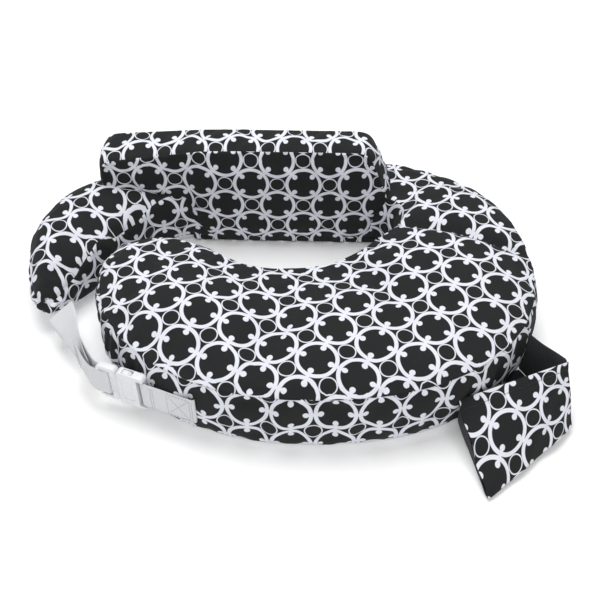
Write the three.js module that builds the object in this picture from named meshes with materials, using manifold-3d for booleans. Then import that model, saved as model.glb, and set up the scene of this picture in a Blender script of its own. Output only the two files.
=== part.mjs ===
// Nursing pillow: a C-shaped foam ring that wraps round the waist, a tall back support on its rear
// band, a printed slipcover of sewn panels, a drinks pocket, a webbing strap with a side-release
// buckle, and the zip that lets the slipcover come off.
// Millimetres, +Z up. X runs across the pillow and Y from its front to its back.
import * as THREE from "three";
import { mergeVertices } from "three/addons/utils/BufferGeometryUtils.js";
import Module from "manifold-3d";

// ---- Driving dimensions ----
const HALF_WIDTH = 256; // ring outline, centre to side
const HALF_DEPTH = 211; // ring outline, centre to front
const REAR_HALF_DEPTH = 217; // ring outline, centre to rear
const OUTLINE_POWER = 2.2; // 2 would be an ellipse
const CREASE_OUTER_ANGLE = 3;
const FRONT_START_ANGLE = -180;
const REAR_JOIN_ANGLE = 66;
const RING_HEIGHT = 82; // floor to the top of the front half
const ARM_HEIGHT = RING_HEIGHT + 4; // floor to the top of the rear band and tail
const FABRIC = 1.2; // cover panel thickness
const GAP = 0.4; // clearance between neighbouring pieces
const MITRE_LIMIT = 0.3; // keeps an offset corner from running away
const CREASE_GAP = 2; // open space in the foam where the ring flexes
const CREASE_REACH = 40; // how far the crease cut runs past both ends of the crease

const RISER_HEIGHT = 155; // floor to the top of the back support
const RISER_TOP_DEPTH = 38;
const RISER_FOOT_DEPTH = 66;
const RISER_END_FLARE = 16; // the right end is this much longer at its foot
const RISER_OVERHANG = 98; // the left end stands on the tail, past the front line

const POCKET_ANGLE = -38; // where on the outline the pocket hangs, degrees of outline parameter
const POCKET_MOUTH_HEIGHT = 66;
const POCKET_MOUTH_DROP = 16; // the mouth's left corner is pulled down by this
const POCKET_MOUTH_WIDTH = 106;
const POCKET_MOUTH_REACH = 52; // how far the right corner of the mouth stands off the ring
const POCKET_FLOOR_REACH = 84; // how far the bottom edge stands off the ring
const POCKET_SKEW = 36; // sideways slouch of the bottom edge
const POCKET_LEFT_SHARE = 0.65; // share of the mouth left of the hanging point
const POCKET_WALL_SPREAD = 8; // the right side wall meets the ring this far past the mouth
const POCKET_LIFT = 5; // the bottom edge's right corner stands off the floor
const POCKET_FLOOR_WIDTH = 128;
const HEM_WIDTH = 12;

const WEBBING_WIDTH = 38;
const WEBBING_THICKNESS = 1.6;
const STRAP_HEIGHT = 42; // webbing centre line above the floor
const STRAP_ANCHOR_ANGLE = -118; // outline parameter where the short strap is sewn to the cover
const TAIL_STRAP_HEIGHT = 50; // webbing centre line where it leaves the tail
const TAIL_STRAP_ANGLE = 123; // direction of the webbing where it leaves the tail, degrees from +X
const SHORT_STRAP_LENGTH = 60;
const LOOP_LENGTH = 60; // hemmed end that returns through the adjuster

const BUCKLE_WIDTH = 49;
const BUCKLE_THICKNESS = 11;
const FEMALE_LENGTH = 34;
const MALE_LENGTH = 25;
const BUCKLE_WALL = 2;
const BAR = 4; // webbing bars of both halves
const SLOT = 4.6; // webbing slots of both halves
const PRONG_LENGTH = 22;
const PRONG_WIDTH = 7;
const BUCKLE_CORNER = 4; // corner rounding of both halves
const SOCKET_LIP = 7; // the female half past its side windows
const TONGUE_LENGTH = 18; // guide tongue of the male half
const TONGUE_WIDTH = 5;

const ZIP_LENGTH = 240;
const ZIP_HEIGHT = 40;
const TAPE_WIDTH = 12;
const TAPE_THICKNESS = 0.7;
const TAPE_TAIL = 12; // tape past each end of the teeth
const CHAIN_WIDTH = 5;
const CHAIN_THICKNESS = 2;
const SLIDER_LENGTH = 11;
const PULL_LENGTH = 20;

const FOAM_INSET = FABRIC + GAP;
const FOAM_ROUND = 7; // edge rounding of the foam

// ---- Materials ----
const paint = (color, roughness, metalness = 0) =>
  new THREE.MeshStandardMaterial({ color, roughness, metalness });
const foamYellow = paint(0xe8dfc0, 0.95);
const printedCotton = paint(0x2b2c2e, 0.85);
const whiteCotton = paint(0xe8e9ea, 0.85);
const blackLining = paint(0x26272a, 0.8);
const webbingWhite = paint(0xdedfe3, 0.75);
const plasticWhite = paint(0xeceded, 0.4);
const zipBlack = paint(0x1d1e20, 0.6);
const zipMetal = paint(0x9a9a9c, 0.35, 0.9);

// ---- Solid tools ----
const wasm = await Module();
wasm.setup();

// A closed geometry as a solid that can be joined and cut.
function solid(geometry) {
  const bare = geometry.clone();
  bare.deleteAttribute("normal");
  bare.deleteAttribute("uv");
  const merged = mergeVertices(bare, 1e-4);
  return new wasm.Manifold(
    new wasm.Mesh({
      numProp: 3,
      vertProperties: new Float32Array(merged.attributes.position.array),
      triVerts: new Uint32Array(merged.index.array),
    }),
  );
}

function geometryOf(body) {
  const mesh = body.getMesh();
  const geometry = new THREE.BufferGeometry();
  const values = new Float32Array(mesh.numVert * 3);
  for (let i = 0; i < mesh.numVert; i++) {
    const from = i * mesh.numProp;
    values.set(mesh.vertProperties.subarray(from, from + 3), i * 3);
  }
  geometry.setAttribute("position", new THREE.BufferAttribute(values, 3));
  geometry.setIndex(new THREE.BufferAttribute(new Uint32Array(mesh.triVerts), 1));
  return geometry;
}

function boxSolid(x0, x1, y0, y1, z0, z1) {
  const box = new THREE.BoxGeometry(x1 - x0, y1 - y0, z1 - z0);
  box.translate((x0 + x1) / 2, (y0 + y1) / 2, (z0 + z1) / 2);
  return solid(box);
}

// A plan outline raised from z0 to z1.
function raised(points, z0, z1) {
  const body = new THREE.ExtrudeGeometry(new THREE.Shape(points), { depth: z1 - z0, bevelEnabled: false });
  body.translate(0, 0, z0);
  return body;
}

// The same with rounded top and bottom edges.
function raisedRound(points, z0, z1, round) {
  const body = new THREE.ExtrudeGeometry(new THREE.Shape(offset(points, -round)), {
    depth: z1 - z0 - 2 * round,
    bevelThickness: round,
    bevelSize: round,
    bevelSegments: 3,
  });
  body.translate(0, 0, z0 + round);
  return body;
}

// A closed sheet on a grid of points: rows[i][j] are Vector3, and the back lies thickness behind the front.
function sheet(rows, thickness) {
  const nu = rows.length;
  const nv = rows[0].length;
  const front = rows.flat();
  const back = front.map((p, k) => {
    const i = Math.floor(k / nv);
    const j = k % nv;
    const before = rows[Math.max(i - 1, 0)][j];
    const after = rows[Math.min(i + 1, nu - 1)][j];
    const du = new THREE.Vector3().subVectors(after, before);
    const left = rows[i][Math.max(j - 1, 0)];
    const right = rows[i][Math.min(j + 1, nv - 1)];
    const dv = new THREE.Vector3().subVectors(right, left);
    return p.clone().addScaledVector(du.cross(dv).normalize(), -thickness);
  });
  const geometry = new THREE.BufferGeometry().setFromPoints([...front, ...back]);
  const n = front.length;
  const faces = [];
  const quad = (a, b, c, d) => faces.push(a, b, c, a, c, d);
  const at = (i, j) => i * nv + j;
  for (let i = 0; i + 1 < nu; i++)
    for (let j = 0; j + 1 < nv; j++) {
      quad(at(i, j), at(i + 1, j), at(i + 1, j + 1), at(i, j + 1));
      quad(n + at(i, j), n + at(i, j + 1), n + at(i + 1, j + 1), n + at(i + 1, j));
    }
  for (let i = 0; i + 1 < nu; i++) {
    quad(at(i + 1, 0), at(i, 0), n + at(i, 0), n + at(i + 1, 0));
    quad(at(i, nv - 1), at(i + 1, nv - 1), n + at(i + 1, nv - 1), n + at(i, nv - 1));
  }
  for (let j = 0; j + 1 < nv; j++) {
    quad(at(0, j), at(0, j + 1), n + at(0, j + 1), n + at(0, j));
    quad(at(nu - 1, j + 1), at(nu - 1, j), n + at(nu - 1, j), n + at(nu - 1, j + 1));
  }
  geometry.setIndex(faces);
  return geometry;
}

// A sheet between four corners, in order round its front.
function panel(a, b, c, d, thickness, steps = 1) {
  const rows = [];
  for (let i = 0; i <= steps; i++) {
    const low = a.clone().lerp(b, i / steps);
    const high = d.clone().lerp(c, i / steps);
    rows.push([low, high]);
  }
  return sheet(rows, thickness);
}

// ---- Plan curves ----
const v2 = (x, y) => new THREE.Vector2(x, y);
const v3 = (x, y, z) => new THREE.Vector3(x, y, z);

// A point of the ring's outline by its parameter in degrees, 0 at the right side and -90 at the front.
function rim(degrees) {
  const angle = THREE.MathUtils.degToRad(degrees);
  const c = Math.cos(angle);
  const s = Math.sin(angle);
  const depth = s < 0 ? HALF_DEPTH : REAR_HALF_DEPTH;
  const bend = (value) => Math.sign(value) * Math.abs(value) ** (2 / OUTLINE_POWER);
  return v2(HALF_WIDTH * bend(c), depth * bend(s));
}

// The rim's unit tangent, anticlockwise.
function rimTangent(degrees) {
  const step = 0.5;
  return rim(degrees + step).sub(rim(degrees - step)).normalize();
}

function rimArc(from, to, count) {
  const points = [];
  for (let i = 0; i <= count; i++) points.push(rim(from + ((to - from) * i) / count));
  return points;
}

// A smooth curve through points given as shares of the half width and half depth.
function smooth(shares, count) {
  const points = shares.map(([x, y]) => v2(x * HALF_WIDTH, y * HALF_DEPTH));
  return new THREE.SplineCurve(points).getPoints(count);
}


// A closed or open line moved sideways, outwards for a positive distance on an anticlockwise outline.
function offset(points, distance, closed = true) {
  const n = points.length;
  return points.map((p, i) => {
    const before = points[closed ? (i + n - 1) % n : Math.max(i - 1, 0)];
    const after = points[closed ? (i + 1) % n : Math.min(i + 1, n - 1)];
    const inward = v2().subVectors(p, before);
    const outward = v2().subVectors(after, p);
    if (inward.length() === 0) inward.copy(outward);
    if (outward.length() === 0) outward.copy(inward);
    const a = v2(inward.y, -inward.x).normalize();
    const b = v2(outward.y, -outward.x).normalize();
    const middle = a.clone().add(b).normalize();
    return p.clone().addScaledVector(middle, distance / Math.max(MITRE_LIMIT, middle.dot(a)));
  });
}

// A wall of the cover's fabric, standing along an open line with its outer side on the line.
function wall(line, z0, z1) {
  const inner = offset(line, -FABRIC, false).reverse();
  return raised([...line, ...inner], z0, z1);
}

// An open line carried straight on past its last point.
function extended(line, distance) {
  const end = line[line.length - 1];
  const heading = v2().subVectors(end, line[line.length - 2]).normalize();
  return [...line, end.clone().addScaledVector(heading, distance)];
}

// Shapes of the free edges, as shares of the half width and half depth.
const INNER_EDGE = [
  [0.39, 0.332],
  [0.16, 0.076],
  [-0.074, -0.019],
  [-0.309, -0.014],
  [-0.543, 0.156],
  [-0.77, 0.237],
  [-0.92, 0.15],
];
const RIGHT_INNER_EDGE = [
  [0.33, 0.61],
  [0.42, 0.53],
  [0.44, 0.43],
  [0.39, 0.332],
];
const TAIL_OUTER_EDGE = [
  [-0.7, 0.937],
  [-0.96, 0.885],
  [-1.156, 0.82],
  [-1.3, 0.645],
  [-1.385, 0.36],
  [-1.375, 0.128],
  [-1.34, -0.03],
  [-1.29, -0.14],
  [-1.225, -0.19],
];
const TAIL_INNER_EDGE = [
  [-1.16, -0.165],
  [-1.12, -0.04],
  [-1.055, 0.13],
  [-0.965, 0.341],
  [-0.836, 0.535],
  [-0.66, 0.645],
];

const creaseIn = smooth(INNER_EDGE.slice(0, 2), 1)[0];
const creaseOut = rim(CREASE_OUTER_ANGLE);
const creaseLine = v2().subVectors(creaseOut, creaseIn).normalize();
const creaseNormal = v2(-creaseLine.y, creaseLine.x); // towards the rear

const alongCrease = (point, distance) => point.clone().addScaledVector(creaseNormal, distance);
const halfSeam = GAP / 2;

const frontOuter = rimArc(FRONT_START_ANGLE, CREASE_OUTER_ANGLE, 44);
frontOuter[frontOuter.length - 1] = alongCrease(creaseOut, -halfSeam);
const frontInner = smooth(INNER_EDGE, 22);
frontInner[0] = alongCrease(creaseIn, -halfSeam);

const armOuter = [
  ...rimArc(CREASE_OUTER_ANGLE, REAR_JOIN_ANGLE, 16),
  ...smooth(TAIL_OUTER_EDGE, 22),
];
armOuter[0] = alongCrease(creaseOut, halfSeam);
const tailInner = smooth(TAIL_INNER_EDGE, 14);
const armInner = smooth(RIGHT_INNER_EDGE, 6);
armInner[armInner.length - 1] = alongCrease(creaseIn, halfSeam);

const frontOutline = [...frontOuter, ...frontInner];
const armOutline = [...armOuter, ...tailInner, ...armInner];

// ---- Bodies are nested groups, named for reading only ----
const pillow = new THREE.Group();

function add(name, geometry, material, parent = pillow) {
  const mesh = new THREE.Mesh(geometry, material);
  mesh.name = name;
  parent.add(mesh);
  return mesh;
}

// ---- Front half of the ring ----

// A body without what lies on the far side of the crease, or nearer to it than a distance.
function creaseCut(body, side, back) {
  const length = creaseIn.distanceTo(creaseOut) + 2 * CREASE_REACH;
  const block = new THREE.BoxGeometry(length, CREASE_REACH, 4 * RING_HEIGHT);
  block.translate(length / 2 - CREASE_REACH, side * (back - CREASE_REACH / 2), 0);
  block.rotateZ(creaseLine.angle());
  block.translate(creaseIn.x, creaseIn.y, 0);
  return body.subtract(solid(block));
}

function ringPieces() {
  const inset = offset(frontOutline, -FOAM_INSET);
  const foam = solid(raisedRound(inset, FOAM_INSET, RING_HEIGHT - FOAM_INSET, FOAM_ROUND));
  add("front_foam", geometryOf(creaseCut(foam, -1, CREASE_GAP / 2)), foamYellow);
  add("front_base_panel", raised(frontOutline, 0, FABRIC), whiteCotton);
  add("front_top_panel", raised(frontOutline, RING_HEIGHT - FABRIC, RING_HEIGHT), printedCotton);
  const low = FABRIC + GAP;
  const high = RING_HEIGHT - FABRIC - GAP;
  const lobeEnd = frontInner.slice(-2);
  const past = 4 * FABRIC; // walls run past the crease, then are cut to it
  const outer = wall(extended(frontOuter.slice(1), past), low, high);
  add("front_outer_band", geometryOf(creaseCut(solid(outer), -1, halfSeam)), printedCotton);
  const innerLine = extended(frontInner.slice(0, -2).reverse(), past).reverse();
  const inner = wall(innerLine, low, high);
  add("front_inner_band", geometryOf(creaseCut(solid(inner), -1, halfSeam)), printedCotton);
  const lobe = [lobeEnd[0], lobeEnd[1], frontOuter[0], frontOuter[1]];
  lobe[0] = lobe[0].clone().lerp(lobe[1], 0.1);
  const last = lobe.length - 1;
  lobe[last] = lobe[last - 1].clone().lerp(lobe[last], 0.9);
  add("front_end_band", wall(lobe, low, high), printedCotton);
}

ringPieces();

// ---- Rear band and tail ----
const frontLineLeft = tailInner[tailInner.length - 1];
const frontLineRight = armInner[0];
const riserFrame = new THREE.Group();
const riserMiddle = frontLineLeft.clone().add(frontLineRight).multiplyScalar(0.5);
riserFrame.position.set(riserMiddle.x, riserMiddle.y, 0);
riserFrame.rotation.z = v2().subVectors(frontLineRight, frontLineLeft).angle();
riserFrame.updateMatrix();

const riserHalfLine = frontLineLeft.distanceTo(frontLineRight) / 2;
const riserLeft = -riserHalfLine - RISER_OVERHANG;
const riserRight = riserHalfLine - GAP;
const riserFoot = ARM_HEIGHT + GAP;

// The back support's outer shape, shrunk by an inset, from a foot height up.
function riserCorners(inset, foot, top) {
  const share = (z) => (z - ARM_HEIGHT) / (RISER_HEIGHT - ARM_HEIGHT);
  const corner = (end, back, z) => {
    const depth = RISER_FOOT_DEPTH + (RISER_TOP_DEPTH - RISER_FOOT_DEPTH) * share(z);
    const right = riserRight - RISER_END_FLARE * share(z);
    const x = end > 0 ? right - inset : riserLeft + inset;
    return v3(x, back ? depth - inset : inset, z);
  };
  return [foot, top].map((z) => [corner(-1, 0, z), corner(1, 0, z), corner(1, 1, z), corner(-1, 1, z)]);
}

// A block between a lower and an upper ring of four corners.
function hexahedron([low, high]) {
  const geometry = new THREE.BufferGeometry().setFromPoints([...low, ...high]);
  const faces = [0, 2, 1, 0, 3, 2, 4, 5, 6, 4, 6, 7];
  for (let i = 0; i < 4; i++) {
    const j = (i + 1) % 4;
    faces.push(i, j, j + 4, i, j + 4, i + 4);
  }
  geometry.setIndex(faces);
  return geometry;
}

function armPieces() {
  const inset = offset(armOutline, -FOAM_INSET);
  const foam = solid(raisedRound(inset, FOAM_INSET, ARM_HEIGHT - FOAM_INSET, FOAM_ROUND));
  add("rear_foam", geometryOf(creaseCut(foam, 1, CREASE_GAP / 2)), foamYellow);
  add("rear_base_panel", raised(armOutline, 0, FABRIC), whiteCotton);

  const top = solid(raised(armOutline, ARM_HEIGHT - FABRIC, ARM_HEIGHT));
  const reach = 200; // past the outline on any side
  const left = riserLeft - GAP;
  const right = riserRight + GAP;
  const under = (x0, y0) => {
    const box = new THREE.BoxGeometry(right - x0, reach - y0, RING_HEIGHT);
    box.translate((right + x0) / 2, (reach + y0) / 2, ARM_HEIGHT);
    return solid(box.applyMatrix4(riserFrame.matrix));
  };
  const pieces = top.subtract(under(left, -GAP)).subtract(under(-riserHalfLine - GAP, -reach)).decompose();
  pieces.sort((p, q) => q.boundingBox().max[0] - p.boundingBox().max[0]);
  add("rear_top_panel", geometryOf(pieces[0]), printedCotton);
  add("tail_top_panel", geometryOf(pieces[1]), printedCotton);

  const low = FABRIC + GAP;
  const high = ARM_HEIGHT - FABRIC - GAP;
  const past = 4 * FABRIC;
  const outer = wall(extended([...armOuter].reverse(), past).reverse(), low, high);
  add("rear_outer_band", geometryOf(creaseCut(solid(outer), 1, halfSeam)), printedCotton);
  const tip = armOuter[armOuter.length - 1];
  const tipGap = tip.clone().lerp(tailInner[0], 0.08);
  const tailLine = [tipGap, ...tailInner.slice(0, -1), frontLineLeft];
  add("tail_inner_band", wall(tailLine, low, high), printedCotton);
  const start = frontLineRight.clone().lerp(armInner[1], 0.3);
  const inner = wall(extended([start, ...armInner.slice(1)], past), low, high);
  add("rear_inner_band", geometryOf(creaseCut(solid(inner), 1, halfSeam)), printedCotton);
}

armPieces();

// ---- Back support ----
function riserPieces() {
  const inset = FOAM_INSET;
  const foamTop = RISER_HEIGHT - FOAM_INSET;
  add("back_support_foam", hexahedron(riserCorners(inset, riserFoot, foamTop)), foamYellow, riserFrame);

  const slant = RISER_END_FLARE / (RISER_HEIGHT - ARM_HEIGHT);
  const frontTop = RISER_HEIGHT - FABRIC - GAP;
  const face = new THREE.Shape([
    v2(-riserHalfLine + GAP, FABRIC + GAP),
    v2(riserRight, FABRIC + GAP),
    v2(riserRight, ARM_HEIGHT),
    v2(riserRight - slant * (frontTop - ARM_HEIGHT), frontTop),
    v2(riserLeft, frontTop),
    v2(riserLeft, riserFoot),
    v2(-riserHalfLine + GAP, riserFoot),
  ]);
  const front = new THREE.ExtrudeGeometry(face, { depth: FABRIC, bevelEnabled: false });
  front.rotateX(Math.PI / 2);
  front.translate(0, FABRIC, 0);
  add("back_support_front_panel", front, printedCotton, riserFrame);

  const [, lid] = riserCorners(0, riserFoot, RISER_HEIGHT);
  const [, lidUnder] = riserCorners(0, riserFoot, RISER_HEIGHT - FABRIC);
  add("back_support_top_panel", hexahedron([lidUnder, lid]), printedCotton, riserFrame);

  const [low, high] = riserCorners(0, riserFoot, frontTop);
  const endGap = FABRIC + GAP;
  const shift = (p, dx, dy) => p.clone().add(v3(dx, dy, 0));
  const slope = v2(frontTop - riserFoot, low[2].y - high[2].y).normalize();
  const backRun = FABRIC / slope.x;
  add(
    "back_support_back_panel",
    hexahedron([
      [shift(low[3], 0, -backRun), shift(low[2], 0, -backRun), low[2], low[3]],
      [shift(high[3], 0, -backRun), shift(high[2], 0, -backRun), high[2], high[3]],
    ]),
    printedCotton,
    riserFrame,
  );
  const backClear = backRun + GAP;
  // One level of an end panel, which fits between the front and back panels.
  const endAt = (front, back, x0, x1) => [
    shift(front, x0, endGap),
    shift(front, x1, endGap),
    shift(back, x1, -backClear),
    shift(back, x0, -backClear),
  ];
  const leftEnd = [endAt(low[0], low[3], 0, FABRIC), endAt(high[0], high[3], 0, FABRIC)];
  const rightEnd = [endAt(low[1], low[2], -FABRIC, 0), endAt(high[1], high[2], -FABRIC, 0)];
  add("back_support_left_panel", hexahedron(leftEnd), printedCotton, riserFrame);
  add("back_support_right_panel", hexahedron(rightEnd), printedCotton, riserFrame);
}

pillow.add(riserFrame);
riserPieces();

// ---- Drinks pocket ----
function pocketPieces() {
  const origin = rim(POCKET_ANGLE);
  const along = rimTangent(POCKET_ANGLE);
  const out = v2(along.y, -along.x);
  const at = (t, n, z) =>
    v3(origin.x + along.x * t + out.x * n, origin.y + along.y * t + out.y * n, z);
  // How far the curved ring has drawn back from its tangent at a distance along it.
  const drawback = (t) => {
    let low = POCKET_ANGLE - 40;
    let high = POCKET_ANGLE + 40;
    for (let i = 0; i < 30; i++) {
      const middle = (low + high) / 2;
      if (rim(middle).sub(origin).dot(along) < t) low = middle;
      else high = middle;
    }
    return rim(low).sub(origin).dot(out);
  };
  const off = 2 * GAP + FABRIC;
  const lowZ = FABRIC + GAP;
  const cornerOff = 4; // the mouth's left corner stands off the ring
  const seamIn = 6; // the floor starts this far inside the mouth's left corner
  const leftIn = 8; // the bottom edge's left corner draws in
  const rightOut = 4; // and its right corner stands out
  const wallLift = 4; // foot of the right side wall
  const leftT = -POCKET_MOUTH_WIDTH * POCKET_LEFT_SHARE;
  const rightT = POCKET_MOUTH_WIDTH + leftT;
  const wallRight = rightT + POCKET_WALL_SPREAD;
  const leftMouthZ = POCKET_MOUTH_HEIGHT - POCKET_MOUTH_DROP;
  const mouthLeft = at(leftT, drawback(leftT) + off + cornerOff, leftMouthZ);
  const mouthRight = at(rightT, POCKET_MOUTH_REACH, POCKET_MOUTH_HEIGHT);
  const floorMiddle = (leftT + rightT) / 2 - POCKET_SKEW;
  const floorHalf = POCKET_FLOOR_WIDTH / 2;
  const floorLeft = at(floorMiddle - floorHalf, POCKET_FLOOR_REACH - leftIn, lowZ);
  const floorRight = at(floorMiddle + floorHalf, POCKET_FLOOR_REACH + rightOut, lowZ + POCKET_LIFT);
  const floorStart = leftT + seamIn;
  const ringLeft = at(floorStart, drawback(floorStart) + off, lowZ);
  const ringRight = at(wallRight, drawback(wallRight) + off, lowZ + wallLift);
  const ringRightTop = at(wallRight, drawback(wallRight) + off, POCKET_MOUTH_HEIGHT);
  const mix = (a, b, share) => a.clone().lerp(b, share);
  const edge = 0.03; // panels stop this share short of a shared seam
  const hem = HEM_WIDTH / mouthLeft.distanceTo(floorLeft);
  const hemFlare = 1.2; // the hem is wider at its right end
  const panelRows = 6;
  const frontLeftTop = mix(mouthLeft, floorLeft, hem);
  const frontRightTop = mix(mouthRight, floorRight, hem * hemFlare);
  const frontFoot = [mix(floorLeft, frontLeftTop, edge), mix(floorRight, frontRightTop, edge)];
  add(
    "pocket_front_panel",
    panel(...frontFoot, frontRightTop, frontLeftTop, FABRIC, panelRows),
    printedCotton,
  );
  const hemShare = 0.96;
  const hemThickness = 1.6 * FABRIC; // two layers
  add(
    "pocket_hem",
    panel(
      mix(mouthLeft, frontLeftTop, hemShare),
      mix(mouthRight, frontRightTop, hemShare),
      mouthRight,
      mouthLeft,
      hemThickness,
      panelRows,
    ),
    printedCotton,
  );
  const inside = 5; // the gussets stop this far short of the front panel
  const backOff = (p, q) => mix(p, q, inside / p.distanceTo(q));
  // The left gusset is nearly a triangle, because the mouth's left corner is sewn to the ring.
  const cornerWidth = 2;
  const cornerOut = ringLeft.clone().sub(floorLeft).setLength(cornerWidth);
  const leftFoot = backOff(ringLeft, floorLeft);
  const leftTop = backOff(frontLeftTop, ringLeft);
  add(
    "pocket_left_gusset",
    panel(
      leftFoot,
      backOff(floorLeft, ringLeft),
      mix(leftTop, floorLeft, 0.1).add(cornerOut),
      mix(leftTop, leftFoot, 0.15),
      FABRIC,
    ),
    blackLining,
  );
  const offFloor = v3(0, 0, 3); // clears the floor panel
  add(
    "pocket_right_gusset",
    panel(
      backOff(floorRight, ringRight).add(offFloor),
      backOff(ringRight, floorRight).add(offFloor),
      ringRightTop,
      backOff(mouthRight, ringRightTop),
      FABRIC,
    ),
    blackLining,
  );
  // The floor's inner edge follows the curved ring.
  const steps = 8;
  const floorRows = [];
  for (let i = 0; i <= steps; i++) {
    const share = edge + ((1 - 2 * edge) * i) / steps;
    const t = floorStart + (wallRight - floorStart) * share;
    const ringEdge = at(t, drawback(t) + off, lowZ + wallLift * share);
    const frontEdge = mix(floorLeft, floorRight, share);
    floorRows.push([mix(frontEdge, ringEdge, edge), mix(ringEdge, frontEdge, edge)]);
  }
  add("pocket_floor", sheet(floorRows, FABRIC), blackLining);
}

pocketPieces();

// ---- Strap and buckle ----
// The strap frame has x along the strap away from the pillow, y through the webbing and z up its width.
const strapFrame = new THREE.Group();

const anchor = rim(STRAP_ANCHOR_ANGLE);
const anchorTangent = rimTangent(STRAP_ANCHOR_ANGLE);
const anchorOut = v2(anchorTangent.y, -anchorTangent.x);
const strapAngle = anchorTangent.clone().negate().angle(); // the short strap lies along the rim
const strapOff = WEBBING_THICKNESS + 1;
strapFrame.position.set(anchor.x + anchorOut.x * strapOff, anchor.y + anchorOut.y * strapOff, STRAP_HEIGHT);
strapFrame.rotation.z = strapAngle;
pillow.add(strapFrame);

strapFrame.updateMatrix();

const barCentre = SHORT_STRAP_LENGTH;
const femaleStart = barCentre - BAR / 2;
const femaleEnd = femaleStart + FEMALE_LENGTH;
const maleStart = femaleEnd + GAP;
const maleEnd = maleStart + MALE_LENGTH;
const maleBar = maleEnd - BAR - SLOT - BAR / 2; // the bar that the long strap is folded round
const halfWidth = BUCKLE_WIDTH / 2;
const halfThick = BUCKLE_THICKNESS / 2;
const slotHalf = WEBBING_WIDTH / 2 + 1;
const foldIn = BAR * Math.SQRT1_2 + GAP; // clears the bar's corners
const foldOut = foldIn + WEBBING_THICKNESS;

// A plate across the strap with rounded corners, standing like the webbing.
function roundedPlate(x0, x1, half, round, thickness) {
  const shape = new THREE.Shape();
  shape.moveTo(x0 + round, -half);
  shape.lineTo(x1 - round, -half);
  shape.absarc(x1 - round, -half + round, round, -Math.PI / 2, 0);
  shape.lineTo(x1, half - round);
  shape.absarc(x1 - round, half - round, round, 0, Math.PI / 2);
  shape.lineTo(x0 + round, half);
  shape.absarc(x0 + round, half - round, round, Math.PI / 2, Math.PI);
  shape.lineTo(x0, -half + round);
  shape.absarc(x0 + round, -half + round, round, Math.PI, 1.5 * Math.PI);
  const plate = new THREE.ExtrudeGeometry(shape, {
    depth: thickness,
    bevelEnabled: false,
    curveSegments: 4,
  });
  plate.translate(0, 0, -thickness / 2);
  plate.rotateX(Math.PI / 2);
  return plate;
}

// Webbing folded round a bar at the start of a plan line: one layer each side of the line.
function foldedWebbing(line, shortCount) {
  const start = line[0];
  const heading = v2().subVectors(line[1], start).angle();
  const turn = (radius, from, to) => {
    const points = [];
    const steps = 8;
    for (let i = 1; i < steps; i++) {
      const a = heading + from + ((to - from) * i) / steps;
      points.push(v2(start.x + radius * Math.cos(a), start.y + radius * Math.sin(a)));
    }
    return points;
  };
  const short = line.slice(0, shortCount);
  const quarter = Math.PI / 2;
  const outline = [
    ...offset(line, foldIn, false).reverse(),
    ...turn(foldIn, 3 * quarter, quarter),
    ...offset(short, -foldIn, false),
    ...offset(short, -foldOut, false).reverse(),
    ...turn(foldOut, quarter, 3 * quarter),
    ...offset(line, foldOut, false),
  ];
  return raised(outline, -WEBBING_WIDTH / 2, WEBBING_WIDTH / 2);
}

// A webbing bar is thinner than the frame round it.
function thinBar(body, x) {
  for (const side of [-1, 1]) {
    const near = BAR / 2;
    const far = halfThick + 1;
    const box = side < 0 ? [-far, -near] : [near, far];
    body = body.subtract(boxSolid(x - 1, x + BAR + 1, box[0], box[1], -slotHalf, slotHalf));
  }
  return body;
}

function slotAt(body, x) {
  return body.subtract(boxSolid(x, x + SLOT, -halfThick - 1, halfThick + 1, -slotHalf, slotHalf));
}

const windowEnd = femaleEnd - SOCKET_LIP; // the prong barbs catch here
const PRONG_HALF_THICK = halfThick - BUCKLE_WALL - GAP;

// Female half: webbing bar at the pillow end, socket at the other, side windows for the prongs.
function femaleHalf() {
  const bulkhead = 3; // between the slot and the socket
  const sill = 2; // between the bulkhead and the windows
  const socketStart = femaleStart + BAR + SLOT + bulkhead;
  const socketHalf = halfWidth - 2 * BUCKLE_WALL;
  const low = -halfThick + BUCKLE_WALL;
  const high = halfThick - BUCKLE_WALL;
  let body = solid(roundedPlate(femaleStart, femaleEnd, halfWidth, BUCKLE_CORNER, BUCKLE_THICKNESS));
  body = slotAt(thinBar(body, femaleStart), femaleStart + BAR);
  body = body.subtract(boxSolid(socketStart, femaleEnd + 1, low, high, -socketHalf, socketHalf));
  body = body.subtract(boxSolid(socketStart + sill, windowEnd, low, high, -halfWidth - 1, halfWidth + 1));
  add("buckle_female", geometryOf(body), plasticWhite, strapFrame);
}

// Male half: a frame with two webbing slots, and a guide tongue into the socket.
function maleHalf() {
  const tongueHalf = TONGUE_WIDTH / 2;
  const tongueRoot = 2; // how far the tongue runs into the frame
  const maleThickness = BUCKLE_THICKNESS - BUCKLE_WALL;
  const endBar = maleEnd - BAR;
  let body = solid(roundedPlate(maleStart, maleEnd, halfWidth, BUCKLE_CORNER, maleThickness));
  body = body.add(
    boxSolid(
      maleStart - TONGUE_LENGTH,
      maleStart + tongueRoot,
      -PRONG_HALF_THICK,
      PRONG_HALF_THICK,
      -tongueHalf,
      tongueHalf,
    ),
  );
  body = thinBar(thinBar(body, endBar), maleBar - BAR / 2);
  body = slotAt(slotAt(body, endBar - SLOT), maleBar - BAR / 2 - SLOT);
  add("buckle_male", geometryOf(body), plasticWhite, strapFrame);
}

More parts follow.
